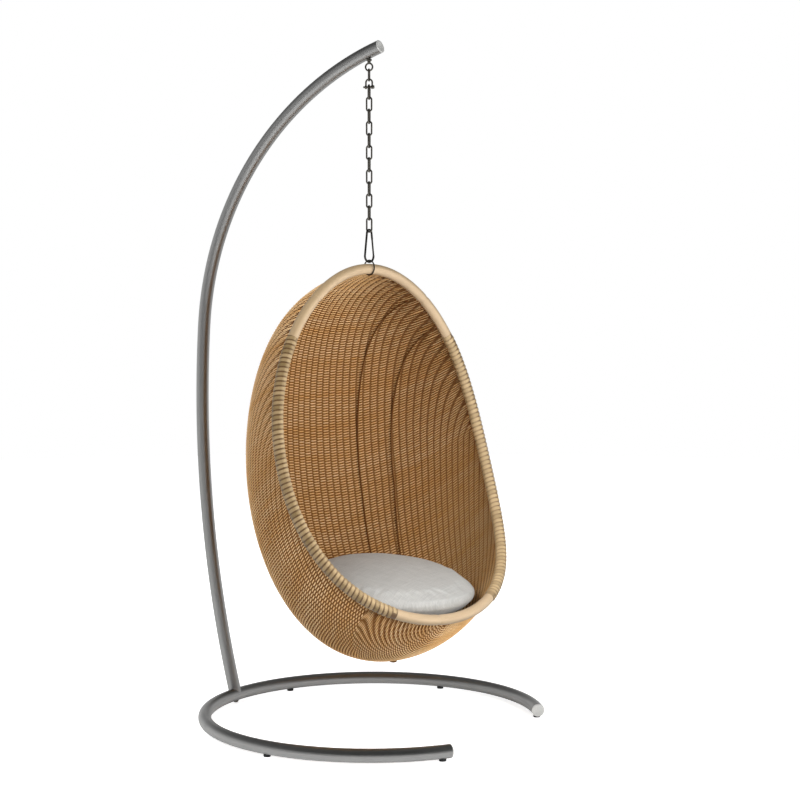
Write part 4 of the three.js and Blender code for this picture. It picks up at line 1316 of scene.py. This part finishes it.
def plain_light(name, place, target, width, energy):
    """A round lamp that lights the pieces without showing in their gloss."""
    deselect_all()
    bpy.ops.object.light_add(type="AREA", location=place)
    lamp = bpy.context.object
    lamp.name = name
    lamp.data.shape = "DISK"
    lamp.data.size = width
    lamp.data.energy = energy
    lamp.rotation_euler = (Vector(target) - Vector(place)).to_track_quat("-Z", "Y").to_euler()
    lamp.visible_glossy = False


class EGG_OT_stage(Operator):
    """Lay the pale floor, set the lamps and place the camera"""
    bl_idname = "egg_chair.stage"
    bl_label = "Stage"

    def execute(self, context):
        stage = context.scene.egg_stage
        self.lay_floor(stage)
        self.set_world(stage)
        plain_light("Key", (-1.2, -4.2, 4.4), (0.1, 0, 0.8), width=3.2, energy=210 * stage.key_light)
        plain_light("Fill", (3.8, -1.5, 1.7), (0, 0, 0.9), width=2.6, energy=150 * stage.key_light)
        plain_light("Back", (-3.2, 3.4, 3.4), (0, 0, 0.9), width=3.0, energy=70 * stage.key_light)
        self.place_camera(context.scene, stage)
        context.scene.view_settings.view_transform = "Standard"
        return {"FINISHED"}

    @staticmethod
    def lay_floor(stage):
        floor = add_shape("circle", vertices=96, radius=stage.floor_radius, fill_type="NGON")
        floor.name = "studio_floor"
        material, nodes, shader = new_material(
            "Studio floor", Roughness=0.9, Specular_IOR_Level=0, Emission_Color=(1, 1, 1, 1),
        )
        grain = nodes.noise(nodes.place(), 40)
        nodes.set(shader["Base Color"], nodes.mix(grain, (0.80, 0.80, 0.80), (0.84, 0.84, 0.84)))
        path = nodes.light_path()
        seen = nodes.maths("MAXIMUM", path["Is Camera Ray"], path["Is Transmission Ray"])
        seen = nodes.maths("MAXIMUM", seen, nodes.maths("MULTIPLY", path["Is Glossy Ray"], 0.2))
        nodes.set(shader["Emission Strength"], nodes.maths("MULTIPLY", seen, 0.75))
        floor.data.materials.append(material)

    @staticmethod
    def set_world(stage):
        """White for the camera; in gloss a room that darkens behind the camera and overhead."""
        world = bpy.data.worlds.new("Studio air")
        bpy.context.scene.world = world
        world.use_nodes = True
        nodes = Nodes(world.node_tree)
        background = world.node_tree.nodes["Background"].inputs
        path = nodes.light_path()
        seen = nodes.maths("MAXIMUM", path["Is Camera Ray"], path["Is Glossy Ray"])
        seen = nodes.maths("MAXIMUM", seen, path["Is Transmission Ray"])
        way = nodes.place("Generated")
        camera_side = Vector(stage.camera_place[:2]).normalized().to_3d()
        towards = nodes.add("ShaderNodeVectorMath", {0: way, 1: camera_side}, operation="DOT_PRODUCT")
        room = nodes.spread(towards.outputs["Value"], 0.1, 0.85, 1, 0.16)
        overhead = nodes.spread(nodes.parts(way)["Z"], 0.12, 0.5, 1, 0.14)
        room = nodes.maths("MAXIMUM", nodes.maths("MULTIPLY", room, overhead), path["Is Camera Ray"])
        nodes.set(background["Color"], nodes.mix(seen, (1, 1, 1), room))
        nodes.set(background["Strength"], nodes.spread(seen, 0, 1, stage.daylight, 1))

    @staticmethod
    def place_camera(scene, stage):
        deselect_all()
        bpy.ops.object.camera_add(location=stage.camera_place)
        camera = bpy.context.object
        camera.rotation_euler = (QUARTER - stage.camera_tip, 0, stage.camera_turn - QUARTER)
        camera.data.sensor_width = 36
        camera.data.lens = stage.lens
        camera.data.clip_end = 60
        scene.camera = camera


class EGG_PT_chair(Panel):
    """Lists the chair's pieces, in the order in which they are made"""
    bl_idname = "EGG_PT_chair"
    bl_label = "Egg Chair"
    bl_space_type = "VIEW_3D"
    bl_region_type = "UI"
    bl_category = "Egg Chair"

    def draw(self, context):
        for operator in OPERATORS:
            self.layout.operator(operator.bl_idname)


OPERATORS = (
    EGG_OT_finishes, EGG_OT_stage, EGG_OT_base_ring, EGG_OT_mast, EGG_OT_caps, EGG_OT_pads, EGG_OT_eye_bolt,
    EGG_OT_chain, EGG_OT_carabiner, EGG_OT_rim, EGG_OT_binding, EGG_OT_weave, EGG_OT_stakes, EGG_OT_ribs,
    EGG_OT_knot, EGG_OT_seat_pad,
)
SETTINGS = {
    "egg_stand": StandSettings, "egg_chain": ChainSettings, "egg_pod": PodSettings,
    "egg_weave": WeaveSettings, "egg_pad": PadSettings, "egg_stage": StageSettings,
}
CLASSES = (*SETTINGS.values(), *OPERATORS, EGG_PT_chair)


def register():
    for kind in CLASSES:
        bpy.utils.register_class(kind)
    for name, kind in SETTINGS.items():
        setattr(bpy.types.Scene, name, PointerProperty(type=kind))


def unregister():
    for name in SETTINGS:
        delattr(bpy.types.Scene, name)
    for kind in reversed(CLASSES):
        bpy.utils.unregister_class(kind)


def corners(bounds):
    return [list(corner) for corner in bounds]


def main():
    register()
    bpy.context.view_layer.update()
    for operator in OPERATORS:
        group, name = operator.bl_idname.split(".")
        getattr(getattr(bpy.ops, group), name)()


if __name__ == "__main__":
    main()
